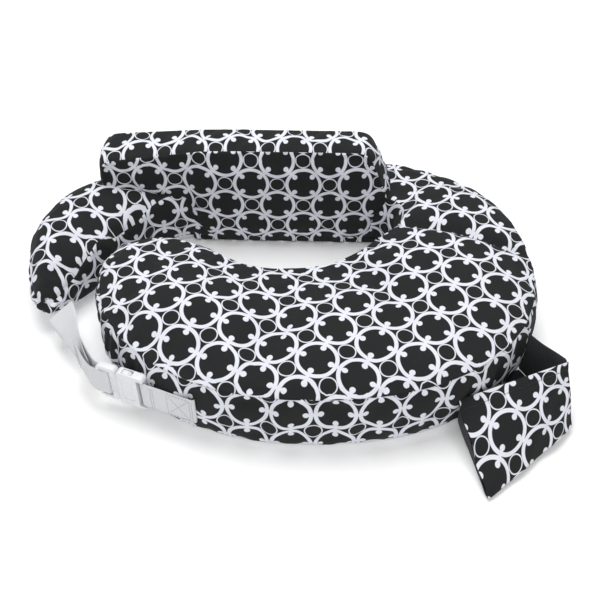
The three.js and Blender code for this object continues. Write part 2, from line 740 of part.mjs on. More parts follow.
// A spring prong, with a barb whose back rests on the end of its window.
function prong(name, side) {
  const root = maleStart - GAP;
  const tip = root - PRONG_LENGTH;
  const outer = halfWidth - 2 * BUCKLE_WALL - GAP;
  const inner = outer - PRONG_WIDTH;
  const back = outer - 1; // outer face of the spring arm
  const barb = halfWidth - 0.5; // the barb ends just under the buckle's side
  const nose = 6; // length of the sloped lead-in
  const shape = new THREE.Shape([
    v2(root, inner + 2),
    v2(root, back),
    v2(windowEnd - GAP, back),
    v2(windowEnd - GAP, barb),
    v2(tip + nose, barb - 1),
    v2(tip, outer - PRONG_WIDTH / 2 - 0.5),
    v2(tip + nose / 2, inner),
  ]);
  const body = new THREE.ExtrudeGeometry(shape, { depth: 2 * PRONG_HALF_THICK, bevelEnabled: false });
  body.translate(0, 0, -PRONG_HALF_THICK);
  body.rotateX((side * Math.PI) / 2);
  add(name, body, plasticWhite, strapFrame);
}

// The long strap's middle line in the strap frame, from the male bar to the end of the tail.
function longStrapLine() {
  const tip = armOuter[armOuter.length - 1].clone().add(tailInner[0]).multiplyScalar(0.5);
  const toStrap = strapFrame.matrix.clone().invert();
  const end = v3(tip.x, tip.y, TAIL_STRAP_HEIGHT).applyMatrix4(toStrap);
  const leave = THREE.MathUtils.degToRad(TAIL_STRAP_ANGLE) - strapAngle;
  const along = v3(Math.cos(leave), Math.sin(leave), 0);
  const start = v3(maleEnd + 2, 0, 0);
  const pull = start.distanceTo(end) / 3;
  const slack = 0.4; // the strap turns soon after it leaves the bar
  end.addScaledVector(along, -2 * GAP);
  const curve = new THREE.CubicBezierCurve3(
    start,
    start.clone().add(v3(slack * pull, 0, 0)),
    end.clone().addScaledVector(along, -pull),
    end,
  );
  return [v3(maleBar, 0, 0), ...curve.getSpacedPoints(20)];
}

function webbing() {
  const foldLength = 18; // the short layer behind the female bar
  const plan = [v2(barCentre, 0), v2(barCentre - foldLength, 0), v2(barCentre / 2, 0), v2(0, 0)];
  add("short_strap", foldedWebbing(plan, 2), webbingWhite, strapFrame);

  const line = longStrapLine();
  const flat = line.map((p) => v2(p.x, p.y));
  let run = 0;
  let count = 1;
  while (run < LOOP_LENGTH) {
    run += flat[count].distanceTo(flat[count - 1]);
    count += 1;
  }
  const hemmedShare = 0.7; // the free end stops short of the loop's outer layer
  const innerCount = Math.ceil(count * hemmedShare);
  add("strap_end_loop", foldedWebbing(flat.slice(0, count), innerCount), webbingWhite, strapFrame);

  const upper = v3(0, 0, WEBBING_WIDTH / 2);
  const slipIn = 4; // points of the line before the strap slips between the loop's layers
  const rest = line.slice(slipIn);
  const rows = rest.map((p) => [p.clone().sub(upper), p.clone().add(upper)]);
  add("tail_strap", sheet(rows, WEBBING_THICKNESS), webbingWhite, strapFrame);
}

femaleHalf();
maleHalf();
prong("buckle_prong_upper", 1);
prong("buckle_prong_lower", -1);
webbing();

// ---- Zip, on the straight back of the rear band ----
// The zip frame has x along the zip, y out of the cover and z up.
function zip() {
  const right = rim(REAR_JOIN_ANGLE);
  const left = smooth(TAIL_OUTER_EDGE, 2)[0];
  const frame = new THREE.Group();
  frame.position.set((left.x + right.x) / 2, (left.y + right.y) / 2, ZIP_HEIGHT);
  frame.rotation.z = Math.atan2(right.y - left.y, right.x - left.x);
  pillow.add(frame);
  const block = (x, y, z, sx, sy, sz) => new THREE.BoxGeometry(sx, sy, sz).translate(x, y, z);
  const tapeY = GAP + TAPE_THICKNESS / 2;
  const tapeZ = TAPE_WIDTH / 2 + GAP / 2;
  for (const [name, side] of [
    ["zip_tape_upper", 1],
    ["zip_tape_lower", -1],
  ]) {
    const tape = block(0, tapeY, side * tapeZ, ZIP_LENGTH + 2 * TAPE_TAIL, TAPE_THICKNESS, TAPE_WIDTH);
    add(name, tape, zipBlack, frame);
  }
  const chainY = 2 * GAP + TAPE_THICKNESS + CHAIN_THICKNESS / 2;
  add("zip_chain", block(0, chainY, 0, ZIP_LENGTH, CHAIN_THICKNESS, CHAIN_WIDTH), zipBlack, frame);
  const stop = 3; // length of an end stop
  const stopWidth = CHAIN_WIDTH + 1;
  for (const [name, side] of [
    ["zip_stop_left", -1],
    ["zip_stop_right", 1],
  ]) {
    const x = side * (ZIP_LENGTH / 2 + GAP + stop / 2);
    add(name, block(x, chainY, 0, stop, CHAIN_THICKNESS, stopWidth), zipMetal, frame);
  }
  const sliderX = ZIP_LENGTH / 2 - SLIDER_LENGTH / 2 - GAP;
  const side = 1.2;
  const sliderHalf = CHAIN_WIDTH / 2 + GAP + side;
  const plateY = chainY + CHAIN_THICKNESS / 2 + GAP + side / 2;
  const low = 2 * GAP + TAPE_THICKNESS;
  const cheek = plateY - low;
  let slider = solid(block(sliderX, plateY, 0, SLIDER_LENGTH, side, 2 * sliderHalf));
  for (const way of [-1, 1]) {
    const z = way * (sliderHalf - side / 2);
    slider = slider.add(solid(block(sliderX, low + cheek / 2, z, SLIDER_LENGTH, cheek, side)));
  }
  // The pull is a fork whose pin turns in the slider's lug.
  const lug = 3;
  const pinRadius = 0.5;
  const faceY = plateY + side / 2;
  const pinY = faceY + lug / 2;
  const pin = (radius, length) => {
    const geometry = new THREE.CylinderGeometry(radius, radius, length, 12).rotateZ(Math.PI / 2);
    return solid(geometry.translate(sliderX, pinY, 0));
  };
  const lugRoot = 0.1; // the lug is sunk this far into the plate
  slider = slider.add(solid(block(sliderX, pinY - lugRoot, 0, lug, lug, lug)));
  slider = slider.subtract(pin(pinRadius + GAP, 2 * lug));
  add("zip_slider", geometryOf(slider), zipMetal, frame);

  const arm = 1.2; // thickness of the fork and tab
  const armX = lug / 2 + GAP + arm / 2;
  const forkTop = arm / 2;
  const forkFoot = -3.8;
  const forkHeight = forkTop - forkFoot;
  const forkZ = (forkTop + forkFoot) / 2;
  const tabTop = -2.9;
  const tabLength = PULL_LENGTH - 1;
  const tabZ = tabTop - tabLength / 2;
  let pull = pin(pinRadius, 2 * armX);
  for (const way of [-1, 1]) {
    const fork = block(sliderX + way * armX, pinY, forkZ, arm, arm, forkHeight);
    pull = pull.add(solid(fork));
  }
  pull = pull.add(solid(block(sliderX, pinY, tabZ, 2 * armX + arm, arm, tabLength)));
  add("zip_pull", geometryOf(pull), zipMetal, frame);
}

zip();

// ---- Origin: middle of the plan box, on the floor ----
pillow.updateMatrixWorld(true);
const extent = new THREE.Box3().setFromObject(pillow, true);
const middle = extent.getCenter(v3(0, 0, 0));
pillow.position.set(-middle.x, -middle.y, -extent.min.z);

export default pillow;
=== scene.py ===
"""Nursing pillow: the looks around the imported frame.

Metres. Shapes are worked out in millimetres and scaled."""
import math

import bmesh
import bpy
import numpy as np
from mathutils import Matrix, Vector, geometry


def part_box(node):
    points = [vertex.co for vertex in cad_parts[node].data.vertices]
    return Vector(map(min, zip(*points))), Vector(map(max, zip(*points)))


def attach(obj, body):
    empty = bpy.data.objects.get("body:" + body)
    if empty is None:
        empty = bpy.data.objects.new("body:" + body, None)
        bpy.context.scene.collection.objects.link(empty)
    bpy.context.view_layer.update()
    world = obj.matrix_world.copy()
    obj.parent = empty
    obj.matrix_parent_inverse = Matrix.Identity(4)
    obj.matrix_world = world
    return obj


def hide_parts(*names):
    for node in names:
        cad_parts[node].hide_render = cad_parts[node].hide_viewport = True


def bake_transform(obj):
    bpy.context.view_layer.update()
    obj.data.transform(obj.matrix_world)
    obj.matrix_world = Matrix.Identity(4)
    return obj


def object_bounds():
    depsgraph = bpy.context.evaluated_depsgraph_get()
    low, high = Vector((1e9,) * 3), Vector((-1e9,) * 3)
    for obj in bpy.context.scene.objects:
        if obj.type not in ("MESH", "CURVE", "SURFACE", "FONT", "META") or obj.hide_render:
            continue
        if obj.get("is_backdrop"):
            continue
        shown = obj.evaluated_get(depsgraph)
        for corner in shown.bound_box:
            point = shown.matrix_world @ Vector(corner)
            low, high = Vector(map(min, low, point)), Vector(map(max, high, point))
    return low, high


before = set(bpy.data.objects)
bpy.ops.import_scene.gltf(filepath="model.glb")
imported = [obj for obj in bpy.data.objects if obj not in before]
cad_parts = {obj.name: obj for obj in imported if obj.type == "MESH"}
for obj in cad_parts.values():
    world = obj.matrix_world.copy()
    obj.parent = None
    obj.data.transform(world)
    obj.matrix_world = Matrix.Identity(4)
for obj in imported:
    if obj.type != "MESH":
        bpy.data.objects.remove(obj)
cad_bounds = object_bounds()

MM = 0.001

# ---- Sizes shared with the frame, in millimetres ----
HALF_WIDTH = 256
HALF_DEPTH = 211
REAR_HALF_DEPTH = 217
OUTLINE_POWER = 2.2
RING_HEIGHT = 82
ARM_HEIGHT = 86
RISER_HEIGHT = 155
RISER_TOP_DEPTH = 38
RISER_FOOT_DEPTH = 66
RISER_OVERHANG = 98
RISER_END_FLARE = 16
STRAP_HEIGHT = 42
WEBBING_WIDTH = 38
WEBBING_THICKNESS = 1.6
PRINT_PITCH = 46  # one repeat of the ring print
HALF_ROOT = 0.7071

INNER_EDGE = [(0.39, 0.332), (0.16, 0.076), (-0.074, -0.019), (-0.309, -0.014), (-0.543, 0.156),
              (-0.77, 0.237), (-0.92, 0.15)]
RIGHT_INNER_EDGE = [(0.33, 0.61), (0.42, 0.53), (0.44, 0.43), (0.39, 0.332)]
TAIL_OUTER_EDGE = [(-0.7, 0.937), (-0.96, 0.885), (-1.156, 0.82), (-1.3, 0.645), (-1.385, 0.36),
                   (-1.375, 0.128), (-1.345, -0.03), (-1.305, -0.135), (-1.26, -0.18)]
TAIL_INNER_EDGE = [(-1.215, -0.165), (-1.17, -0.04), (-1.09, 0.13), (-0.975, 0.341), (-0.836, 0.535),
                   (-0.66, 0.645)]
CREASE_OUTER_ANGLE = 3
REAR_JOIN_ANGLE = 66

# The ring's centre in the frame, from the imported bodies.
centre_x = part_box("front_top_panel")[1].x / MM - HALF_WIDTH
centre_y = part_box("front_outer_band")[0].y / MM + HALF_DEPTH
CENTRE = np.array([centre_x, centre_y])


# ---- Plan curves ----
def rim(degrees):
    a = math.radians(degrees)
    c, s = math.cos(a), math.sin(a)
    depth = HALF_DEPTH if s < 0 else REAR_HALF_DEPTH
    power = 2 / OUTLINE_POWER
    x = HALF_WIDTH * math.copysign(abs(c) ** power, c)
    y = depth * math.copysign(abs(s) ** power, s)
    return np.array([x, y])


def rim_arc(start, end, count):
    return [rim(start + (end - start) * i / count) for i in range(count + 1)]


def spline(points, per_span=8):
    """A smooth line through points."""
    p = [np.array(q, float) for q in points]
    out = []
    for i in range(len(p) - 1):
        p0, p1, p2, p3 = p[max(i - 1, 0)], p[i], p[i + 1], p[min(i + 2, len(p) - 1)]
        for k in range(per_span):
            t = k / per_span
            v0, v1 = (p2 - p0) / 2, (p3 - p1) / 2
            cubic = (2 * p1 - 2 * p2 + v0 + v1) * t**3
            square = (-3 * p1 + 3 * p2 - 2 * v0 - v1) * t**2
            out.append(cubic + square + v0 * t + p1)
    return out + [p[-1]]


def shares(edge, per_span=8):
    return spline([(x * HALF_WIDTH, y * HALF_DEPTH) for x, y in edge], per_span)


def resample(points, step, closed):
    p = np.array(points)
    if closed:
        p = np.vstack([p, p[:1]])
    run = np.concatenate([[0], np.cumsum(np.linalg.norm(np.diff(p, axis=0), axis=1))])
    count = int(round(run[-1] / step))
    at = np.linspace(0, run[-1], count + 1)
    if closed:
        at = at[:-1]
    return np.column_stack([np.interp(at, run, p[:, k]) for k in range(p.shape[1])])


def soften(points, times):
    """Rounds the corners of a closed line."""
    p = points.copy()
    for _ in range(times):
        p = 0.5 * p + 0.25 * (np.roll(p, 1, 0) + np.roll(p, -1, 0))
    return p


def outward(points):
    """Outward unit normals of a closed anticlockwise line."""
    d = np.roll(points, -1, 0) - np.roll(points, 1, 0)
    n = np.column_stack([d[:, 1], -d[:, 0]])
    return n / np.linalg.norm(n, axis=1)[:, None]


def distance_to(points, line):
    """Distance from each point to a closed line."""
    a, b = line, np.roll(line, -1, 0)
    best = np.full(len(points), 1e9)
    for p, q in zip(a, b):
        d = q - p
        t = np.clip(((points - p) @ d) / (d @ d), 0, 1)
        best = np.minimum(best, np.linalg.norm(points - (p + t[:, None] * d), axis=1))
    return best


# ---- Shader building: sockets that add and multiply like numbers ----
class Value:
    def __init__(self, tree, socket):
        self.tree, self.socket = tree, socket

    def math(self, operation, *others):
        node = self.tree.nodes.new("ShaderNodeMath")
        node.operation = operation
        for slot_, value in zip(node.inputs, (self, *others)):
            if isinstance(value, Value):
                self.tree.links.new(value.socket, slot_)
            else:
                slot_.default_value = value
        return Value(self.tree, node.outputs[0])

    def __add__(self, other):
        return self.math("ADD", other)

    def __sub__(self, other):
        return self.math("SUBTRACT", other)

    def __mul__(self, other):
        return self.math("MULTIPLY", other)

    def below(self, edge, soft):
        """1 under the edge and 0 over it, with a soft step."""
        node = self.tree.nodes.new("ShaderNodeMapRange")
        node.interpolation_type = "SMOOTHSTEP"
        self.tree.links.new(self.socket, node.inputs["Value"])
        node.inputs["From Min"].default_value = edge - soft
        node.inputs["From Max"].default_value = edge + soft
        node.inputs["To Min"].default_value = 1
        node.inputs["To Max"].default_value = 0
        return Value(self.tree, node.outputs["Result"])


def new_material(name, rough, sheen=0.0, sheen_rough=0.5, specular=0.3):
    material = bpy.data.materials.new(name)
    material.use_nodes = True
    tree = material.node_tree
    shader = tree.nodes["Principled BSDF"]
    shader.inputs["Roughness"].default_value = rough
    shader.inputs["Specular IOR Level"].default_value = specular
    shader.inputs["Sheen Weight"].default_value = sheen
    shader.inputs["Sheen Roughness"].default_value = sheen_rough
    return material, tree, shader


def uv_of(tree, name="print"):
    node = tree.nodes.new("ShaderNodeUVMap")
    node.uv_map = name
    split = tree.nodes.new("ShaderNodeSeparateXYZ")
    tree.links.new(node.outputs["UV"], split.inputs[0])
    return Value(tree, split.outputs["X"]), Value(tree, split.outputs["Y"])


def noise_value(tree, scale, detail=3, rough=0.5, source="Object"):
    coords = tree.nodes.new("ShaderNodeTexCoord")
    node = tree.nodes.new("ShaderNodeTexNoise")
    node.inputs["Scale"].default_value = scale
    node.inputs["Detail"].default_value = detail
    node.inputs["Roughness"].default_value = rough
    tree.links.new(coords.outputs[source], node.inputs["Vector"])
    return Value(tree, node.outputs["Fac"])


def mix_colour(tree, factor, a, b):
    node = tree.nodes.new("ShaderNodeMix")
    node.data_type = "RGBA"
    tree.links.new(factor.socket, node.inputs["Factor"])
    for slot_, value in ((node.inputs[6], a), (node.inputs[7], b)):
        if isinstance(value, (tuple, list)):
            slot_.default_value = (*value, 1)
        else:
            tree.links.new(value, slot_)
    return node.outputs[2]


def bump(tree, shader, height, distance, strength=1.0):
    node = tree.nodes.new("ShaderNodeBump")
    node.inputs["Distance"].default_value = distance
    node.inputs["Strength"].default_value = strength
    tree.links.new(height.socket, node.inputs["Height"])
    tree.links.new(node.outputs["Normal"], shader.inputs["Normal"])


def weave(tree, u, v, threads):
    """Over-and-under threads: u and v in print repeats, threads per repeat."""
    across = (u * (threads * 2 * math.pi)).math("SINE")
    along = (v * (threads * 2 * math.pi)).math("SINE")
    return across * along


def print_material():
    material, tree, shader = new_material("printed_cotton_look", 0.88, sheen=0.03, specular=0.16)
    u, v = uv_of(tree)
    fx = (u.math("FRACT") - 0.5).math("ABSOLUTE")
    fy = (v.math("FRACT") - 0.5).math("ABSOLUTE")
    from_centre = (fx * fx + fy * fy).math("SQRT")
    gx = fx * -1 + 0.5
    gy = fy * -1 + 0.5
    from_corner = (gx * gx + gy * gy).math("SQRT")
    soft = 0.007
    big = (from_centre - 0.45).math("ABSOLUTE").below(0.046, soft)
    small = (from_corner - 0.194).math("ABSOLUTE").below(0.014, soft)
    far = fx.math("MAXIMUM", fy)
    near = fx.math("MINIMUM", fy)
    knob_x = far - 0.335
    knob = (knob_x * knob_x + near * near).math("SQRT").below(0.07, soft)
    neck = near.below(0.043, soft) * (far * -1).below(-0.335, soft)
    white = big.math("MAXIMUM", small).math("MAXIMUM", knob).math("MAXIMUM", neck)
    threads = weave(tree, u, v, 70)
    cloud = noise_value(tree, 22, 4)
    ground = mix_colour(tree, cloud, (0.0075, 0.0082, 0.0085), (0.014, 0.0148, 0.015))
    ink = mix_colour(tree, cloud, (0.68, 0.695, 0.76), (0.78, 0.79, 0.85))
    fleck = (threads * 0.5 + 0.5) * 0.05
    colour = mix_colour(tree, white, ground, ink)
    shade = mix_colour(tree, fleck, colour, (0.25, 0.25, 0.27))
    tree.links.new(shade, shader.inputs["Base Color"])
    crumple = noise_value(tree, 60, 5, 0.6)
    bump(tree, shader, threads * 0.12 + crumple * 1.0, 0.0006, 0.55)
    return material


def cloth_material(name, dark, light, threads=70, rough=0.85, fine=0.3):
    material, tree, shader = new_material(name, rough, sheen=0.15, specular=0.25)
    u, v = uv_of(tree)
    pattern = weave(tree, u, v, threads)
    cloud = noise_value(tree, 30, 4)
    colour = mix_colour(tree, cloud * 0.6 + (pattern * 0.5 + 0.5) * 0.4, dark, light)
    tree.links.new(colour, shader.inputs["Base Color"])
    bump(tree, shader, pattern * fine + noise_value(tree, 70, 5, 0.6), 0.0005, 0.5)
    return material


COTTON = print_material()
WHITE_COTTON = cloth_material("white_cotton_look", (0.66, 0.67, 0.70), (0.80, 0.81, 0.84))
WEBBING = cloth_material("webbing_look", (0.60, 0.61, 0.63), (0.80, 0.81, 0.83),
                         threads=22, rough=0.7, fine=1.2)
THREAD = cloth_material("thread_look", (0.42, 0.42, 0.45), (0.58, 0.58, 0.61), threads=120)
TAPE = cloth_material("zip_tape_look", (0.012, 0.012, 0.014), (0.03, 0.03, 0.034), threads=60, fine=0.8)


def hard_material(name, dark, light, rough, grain, metal=0.0):
    """Moulded plastic or cast metal: faint mottling, and a fine grain that catches the light."""
    material, tree, shader = new_material(name, rough, specular=0.5)
    shader.inputs["Metallic"].default_value = metal
    cloud = noise_value(tree, 90, 3)
    tree.links.new(mix_colour(tree, cloud, dark, light), shader.inputs["Base Color"])
    bump(tree, shader, noise_value(tree, grain, 2), 0.00008, 0.4)
    return material


PLASTIC = hard_material("buckle_plastic_look", (0.66, 0.67, 0.69), (0.78, 0.79, 0.81), 0.38, 1800)
METAL = hard_material("zip_metal_look", (0.20, 0.20, 0.21), (0.34, 0.34, 0.35), 0.32, 1400, metal=0.9)
TEETH = hard_material("zip_teeth_look", (0.015, 0.015, 0.017), (0.035, 0.035, 0.038), 0.45, 1500)
LINING = cloth_material("black_lining_look", (0.018, 0.019, 0.022), (0.05, 0.052, 0.06), threads=90)


# ---- Padded shapes ----
def linked(name, data):
    made = bpy.data.objects.new(name, data)
    bpy.context.scene.collection.objects.link(made)
    return made


class Shell:
    """A closed padded shape: a front panel and a back panel on one outline, joined by a band."""

    def __init__(self):
        self.points, self.faces, self.tags, self.uvs = [], [], [], []

    def vertex(self, p):
        self.points.append(p)
        return len(self.points) - 1

    def face(self, corners, tag, uv):
        self.faces.append(corners)
        self.tags.append(tag)
        self.uvs.append(uv)


def fill(line, step, seam=None):
    """Triangles inside a closed line: points, faces, and where the line's own points are.
    seam is a line of extra points."""
    low, high = line.min(0), line.max(0)
    rows = np.arange(low[1] + step / 2, high[1], step * 0.866)
    grid = []
    for r, y in enumerate(rows):
        for x in np.arange(low[0] + (r % 2) * step / 2, high[0], step):
            grid.append((x, y))
    grid = np.array(grid)
    poly = [tuple(p) for p in line]
    inside = np.zeros(len(grid), bool)
    for (x1, y1), (x2, y2) in zip(poly, poly[1:] + poly[:1]):
        crosses = (y1 > grid[:, 1]) != (y2 > grid[:, 1])
        if y1 != y2:
            inside ^= crosses & (grid[:, 0] < (x2 - x1) * (grid[:, 1] - y1) / (y2 - y1) + x1)
    grid = grid[inside]
    grid = grid[distance_to(grid, line) > 0.55 * step]
    extra = np.zeros((0, 2))
    edges = []
    if seam is not None:
        extra = np.array(seam)
        keep = [np.linalg.norm(extra - g, axis=1).min() > 0.6 * step for g in grid]
        grid = grid[np.array(keep)]
        edges = [(len(line) + i, len(line) + i + 1) for i in range(len(extra) - 1)]
    every = np.vstack([line, extra, grid])
    made = geometry.delaunay_2d_cdt([Vector(p) for p in every], edges, [list(range(len(line)))], 1, 1e-5)
    points = np.array([tuple(p) for p in made[0]])
    back = {}
    for i, sources in enumerate(made[3]):
        for s in sources:
            back[s] = i
    order = [back[i] for i in range(len(line))]
    return points, [list(f) for f in made[2]], order


def padded_shell(line, front, back, rows, bulge, step, front_uv, band_uv, back_uv, seam=None, lip=(3, 9),
                 back_line=None, hem_share=2.0):
    """front(xy, d) and back(xy, d) give heights for points at distance d inside the outline.
    rows are shares from the front rim to the back rim, and bulge(share, run) pushes a band row outwards.
    back_line is the outline of the back panel, and the band turns to the back's cloth past hem_share."""
    shell = Shell()
    back_line = line if back_line is None else back_line
    n = len(line)
    normal = outward(line)
    run = np.concatenate([[0], np.cumsum(np.linalg.norm(np.roll(line, -1, 0) - line, axis=1))])
    zero = np.zeros(n)

    def ring(xy, heights):
        return [shell.vertex((x, y, z)) for (x, y), z in zip(xy, heights)]

    def bridge(a, b, tag, uv):
        for i in range(n):
            j = (i + 1) % n
            shell.face([a[i], a[j], b[j], b[i]], tag, uv(i, [a[i], a[j], b[j], b[i]]))

    front_rim = front(line, zero)
    back_rim = back(back_line, zero)
    band = []
    for k, share in enumerate(rows):
        xy = line * (1 - share) + back_line * share + normal * bulge(share, run[:n])[:, None]
        band.append(ring(xy, front_rim * (1 - share) + back_rim * share))
    for k in range(len(rows) - 1):
        a, b = band[k + 1], band[k]

        def uv(i, corners, k=k):
            r0, r1 = run[i], run[i + 1]
            z = [shell.points[c][2] for c in corners]
            return [band_uv(r, h) for r, h in zip((r0, r1, r1, r0), z)]

        bridge(a, b, "hem" if rows[k] >= hem_share else "band", uv)

    sides = (("front", front, band[0], front_uv), ("back", back, band[-1], back_uv))
    for side, height, rim_ring, uv_map in sides:
        flip = side == "back"
        last = rim_ring
        edge_line = back_line if flip else line
        inner_line = edge_line
        for inset in lip:
            inner_line = edge_line - normal * inset
            xy = inner_line
            now = ring(xy, height(xy, np.full(n, float(inset))))
            for i in range(n):
                j = (i + 1) % n
                corners = [last[i], last[j], now[j], now[i]]
                if flip:
                    corners.reverse()
                shell.face(corners, side, None)
            last = now
        points, faces, order = fill(inner_line, step, seam if not flip else None)
        d = distance_to(points, edge_line)
        z = height(points, d)
        index = [None] * len(points)
        for i, p in enumerate(order):
            index[p] = last[i]
        for i, p in enumerate(points):
            if index[i] is None:
                index[i] = shell.vertex((p[0], p[1], z[i]))
        for f in faces:
            corners = [index[c] for c in f]
            a, b, c = (np.array(shell.points[k][:2]) for k in corners[:3])
            turn = (b - a)[0] * (c - a)[1] - (b - a)[1] * (c - a)[0]
            if (turn < 0) != flip:
                corners.reverse()
            shell.face(corners, side, None)
        for k, tag in enumerate(shell.tags):
            if tag == side and shell.uvs[k] is None:
                corners = shell.faces[k]
                middle = np.mean([shell.points[c][:2] for c in corners], axis=0)
                shell.uvs[k] = [uv_map(np.array(shell.points[c]), middle) for c in corners]
    return shell


def crease_seams(mesh, shell):
    """Sharpens the edges where two panels are sewn together."""
    seen = {}
    for polygon, tag in zip(mesh.polygons, shell.tags):
        for key in polygon.edge_keys:
            seen.setdefault(key, set()).add("band" if tag == "hem" else tag)
    layer = mesh.attributes.new("crease_edge", "FLOAT", "EDGE")
    values = [0.75 if len(seen.get(tuple(sorted(e.vertices)), ())) > 1 else 0.0 for e in mesh.edges]
    layer.data.foreach_set("value", values)


def puff(obj, shell, grow, pressure, cap, frames=16, flat_at=None):
    """Lets the cover settle as cloth: air pressure rounds it, and its spare width wrinkles. Seams stay."""
    count = len(obj.data.vertices)
    rest = np.empty(count * 3)
    obj.data.vertices.foreach_get("co", rest)
    rest = rest.reshape(-1, 3)
    tags = [set() for _ in range(count)]
    for face, tag in zip(shell.faces, shell.tags):
        for corner in face:
            tags[corner].add("band" if tag == "hem" else tag)
    seams = [i for i in range(count) if len(tags[i]) > 1 or (flat_at and flat_at(*(rest[i] / MM)))]
    group = obj.vertex_groups.new(name="seams")
    group.add(seams, 1.0, "REPLACE")
    scene = bpy.context.scene
    cloth = obj.modifiers.new("settle", "CLOTH")
    settings = cloth.settings
    settings.quality = 5
    settings.mass = 0.15
    settings.tension_stiffness = 20
    settings.compression_stiffness = 20
    settings.shear_stiffness = 6
    settings.bending_stiffness = 0.3
    settings.use_pressure = True
    settings.uniform_pressure_force = pressure
    settings.vertex_group_mass = "seams"
    settings.shrink_min = -grow
    settings.effector_weights.gravity = 0
    cloth.collision_settings.use_collision = False
    cloth.point_cache.frame_start = 1
    cloth.point_cache.frame_end = frames
    for number in range(1, frames + 1):
        scene.frame_set(number)
    settled = obj.evaluated_get(bpy.context.evaluated_depsgraph_get()).data
    moved = np.empty(count * 3)
    settled.vertices.foreach_get("co", moved)
    moved = moved.reshape(-1, 3)
    step = moved - rest
    length = np.linalg.norm(step, axis=1)
    step *= np.minimum(1, cap * MM / np.maximum(length, 1e-9))[:, None]
    placed = rest + step
    placed[:, 2] = np.maximum(placed[:, 2], 0.0006)
    obj.modifiers.clear()
    scene.frame_set(1)
    obj.data.vertices.foreach_set("co", placed.ravel())
    obj.vertex_groups.clear()
    obj.data.update()


def make_object(name, shell, place, materials, tag_slots):
    """The shell as an object, in metres, through a placing matrix given in millimetres."""
    mesh = bpy.data.meshes.new(name)
    points = [tuple((place @ Vector(p)) * MM) for p in shell.points]
    mesh.from_pydata(points, [], shell.faces)
    layer = mesh.uv_layers.new(name="print")
    values = np.array([uv for face in shell.uvs for uv in face], np.float32)
    layer.data.foreach_set("uv", values.ravel())
    for material in materials:
        mesh.materials.append(material)
    mesh.polygons.foreach_set("material_index", [tag_slots[t] for t in shell.tags])
    mesh.polygons.foreach_set("use_smooth", [True] * len(mesh.polygons))
    mesh.update()
    crease_seams(mesh, shell)
    return linked(name, mesh)


def subdivide(obj, levels=1):
    modifier = obj.modifiers.new("smooth", "SUBSURF")
    modifier.levels = levels
    modifier.render_levels = levels
    modifier.uv_smooth = "NONE"
    apply_modifiers(obj)


def apply_modifiers(obj):
    bpy.context.view_layer.update()
    graph = bpy.context.evaluated_depsgraph_get()
    mesh = bpy.data.meshes.new_from_object(obj.evaluated_get(graph), depsgraph=graph)
    obj.modifiers.clear()
    obj.data = mesh


def lattice(angle, origin):
    """Print coordinates of a flat panel: a circle's centre lies on origin, and the rows run at angle."""
    c, s = math.cos(math.radians(angle)), math.sin(math.radians(angle))

    def at(x, y):
        dx, dy = x - origin[0], y - origin[1]
        return ((dx * c + dy * s) / PRINT_PITCH + 0.5, (-dx * s + dy * c) / PRINT_PITCH + 0.5)

    return at


# ---- Ring, rear band and tail ----
crease_in = np.array([INNER_EDGE[0][0] * HALF_WIDTH, INNER_EDGE[0][1] * HALF_DEPTH])
crease_out = rim(CREASE_OUTER_ANGLE)
crease_run = (crease_out - crease_in) / np.linalg.norm(crease_out - crease_in)
crease_normal = np.array([-crease_run[1], crease_run[0]])


def hill(xy, x, y, rx, ry, height):
    return height * np.exp(-(((xy[:, 0] - x) / rx) ** 2) - ((xy[:, 1] - y) / ry) ** 2)


def behind_crease(xy):
    """Signed distance behind the crease line, where it crosses the right side; far ahead elsewhere."""
    rel = xy - crease_in
    along = rel @ crease_run
    on_rear = (xy[:, 1] > 45) | (xy[:, 0] < -257)
    return np.where(along > -12, rel @ crease_normal, np.where(on_rear, 200, -200)), along


def ring_top(xy, d):
    rear, along = behind_crease(xy)
    crown = 9 * (1 - np.exp(-d / 26))
    z = RING_HEIGHT - 2.5 * np.exp(-d / 3.5) + crown
    z += hill(xy, -140, -88, 70, 52, 11) + hill(xy, 148, -28, 55, 48, 6)
    z -= hill(xy, 20, -12, 60, 30, 5)
    z += hill(xy, 175, 95, 62, 60, 7)
    valley = 11 * np.exp(-np.abs(rear / 9.0) ** 1.5) * np.clip(d / 16, 0.25, 1)
    z -= np.where((along > -12) & (along < 190), valley, 0)
    beyond = np.clip((-xy[:, 0] - 262) / 30, 0, 1)
    before = np.clip((-xy[:, 0] - 160) / 70, 0, 1) * np.clip((xy[:, 1] - 40) / 30, 0, 1)
    before *= np.clip((126 - xy[:, 1]) / 25, 0, 1)
    on_tail = np.maximum(beyond, before)
    z -= on_tail * (24 * np.exp(-d / 17) - 3)
    z -= np.clip((-xy[:, 0] - 250) / 20, 0, 1) * np.clip((60 - xy[:, 1]) / 110, 0, 1) * 18
    return z


def tail_lift(xy):
    """How far the tail's tip is drawn off the floor."""
    return np.where(xy[:, 0] < -240, np.clip((40 - xy[:, 1]) / 95, 0, 1), 0) ** 1.3


def ring_base(xy, d):
    return 1.2 + 2.8 * np.exp(-d / 4) + 30 * tail_lift(xy)


outline = np.vstack([
    rim_arc(-180, REAR_JOIN_ANGLE, 90),
    shares(TAIL_OUTER_EDGE)[1:],
    shares(TAIL_INNER_EDGE),
    shares(RIGHT_INNER_EDGE)[:-1],
    shares(INNER_EDGE),
])
outline = soften(resample(outline, 5.5, True), 6)
crease_length = np.linalg.norm(crease_out - crease_in)
crease_points = [crease_in + crease_run * t for t in np.arange(16, crease_length - 13, 5.5)]

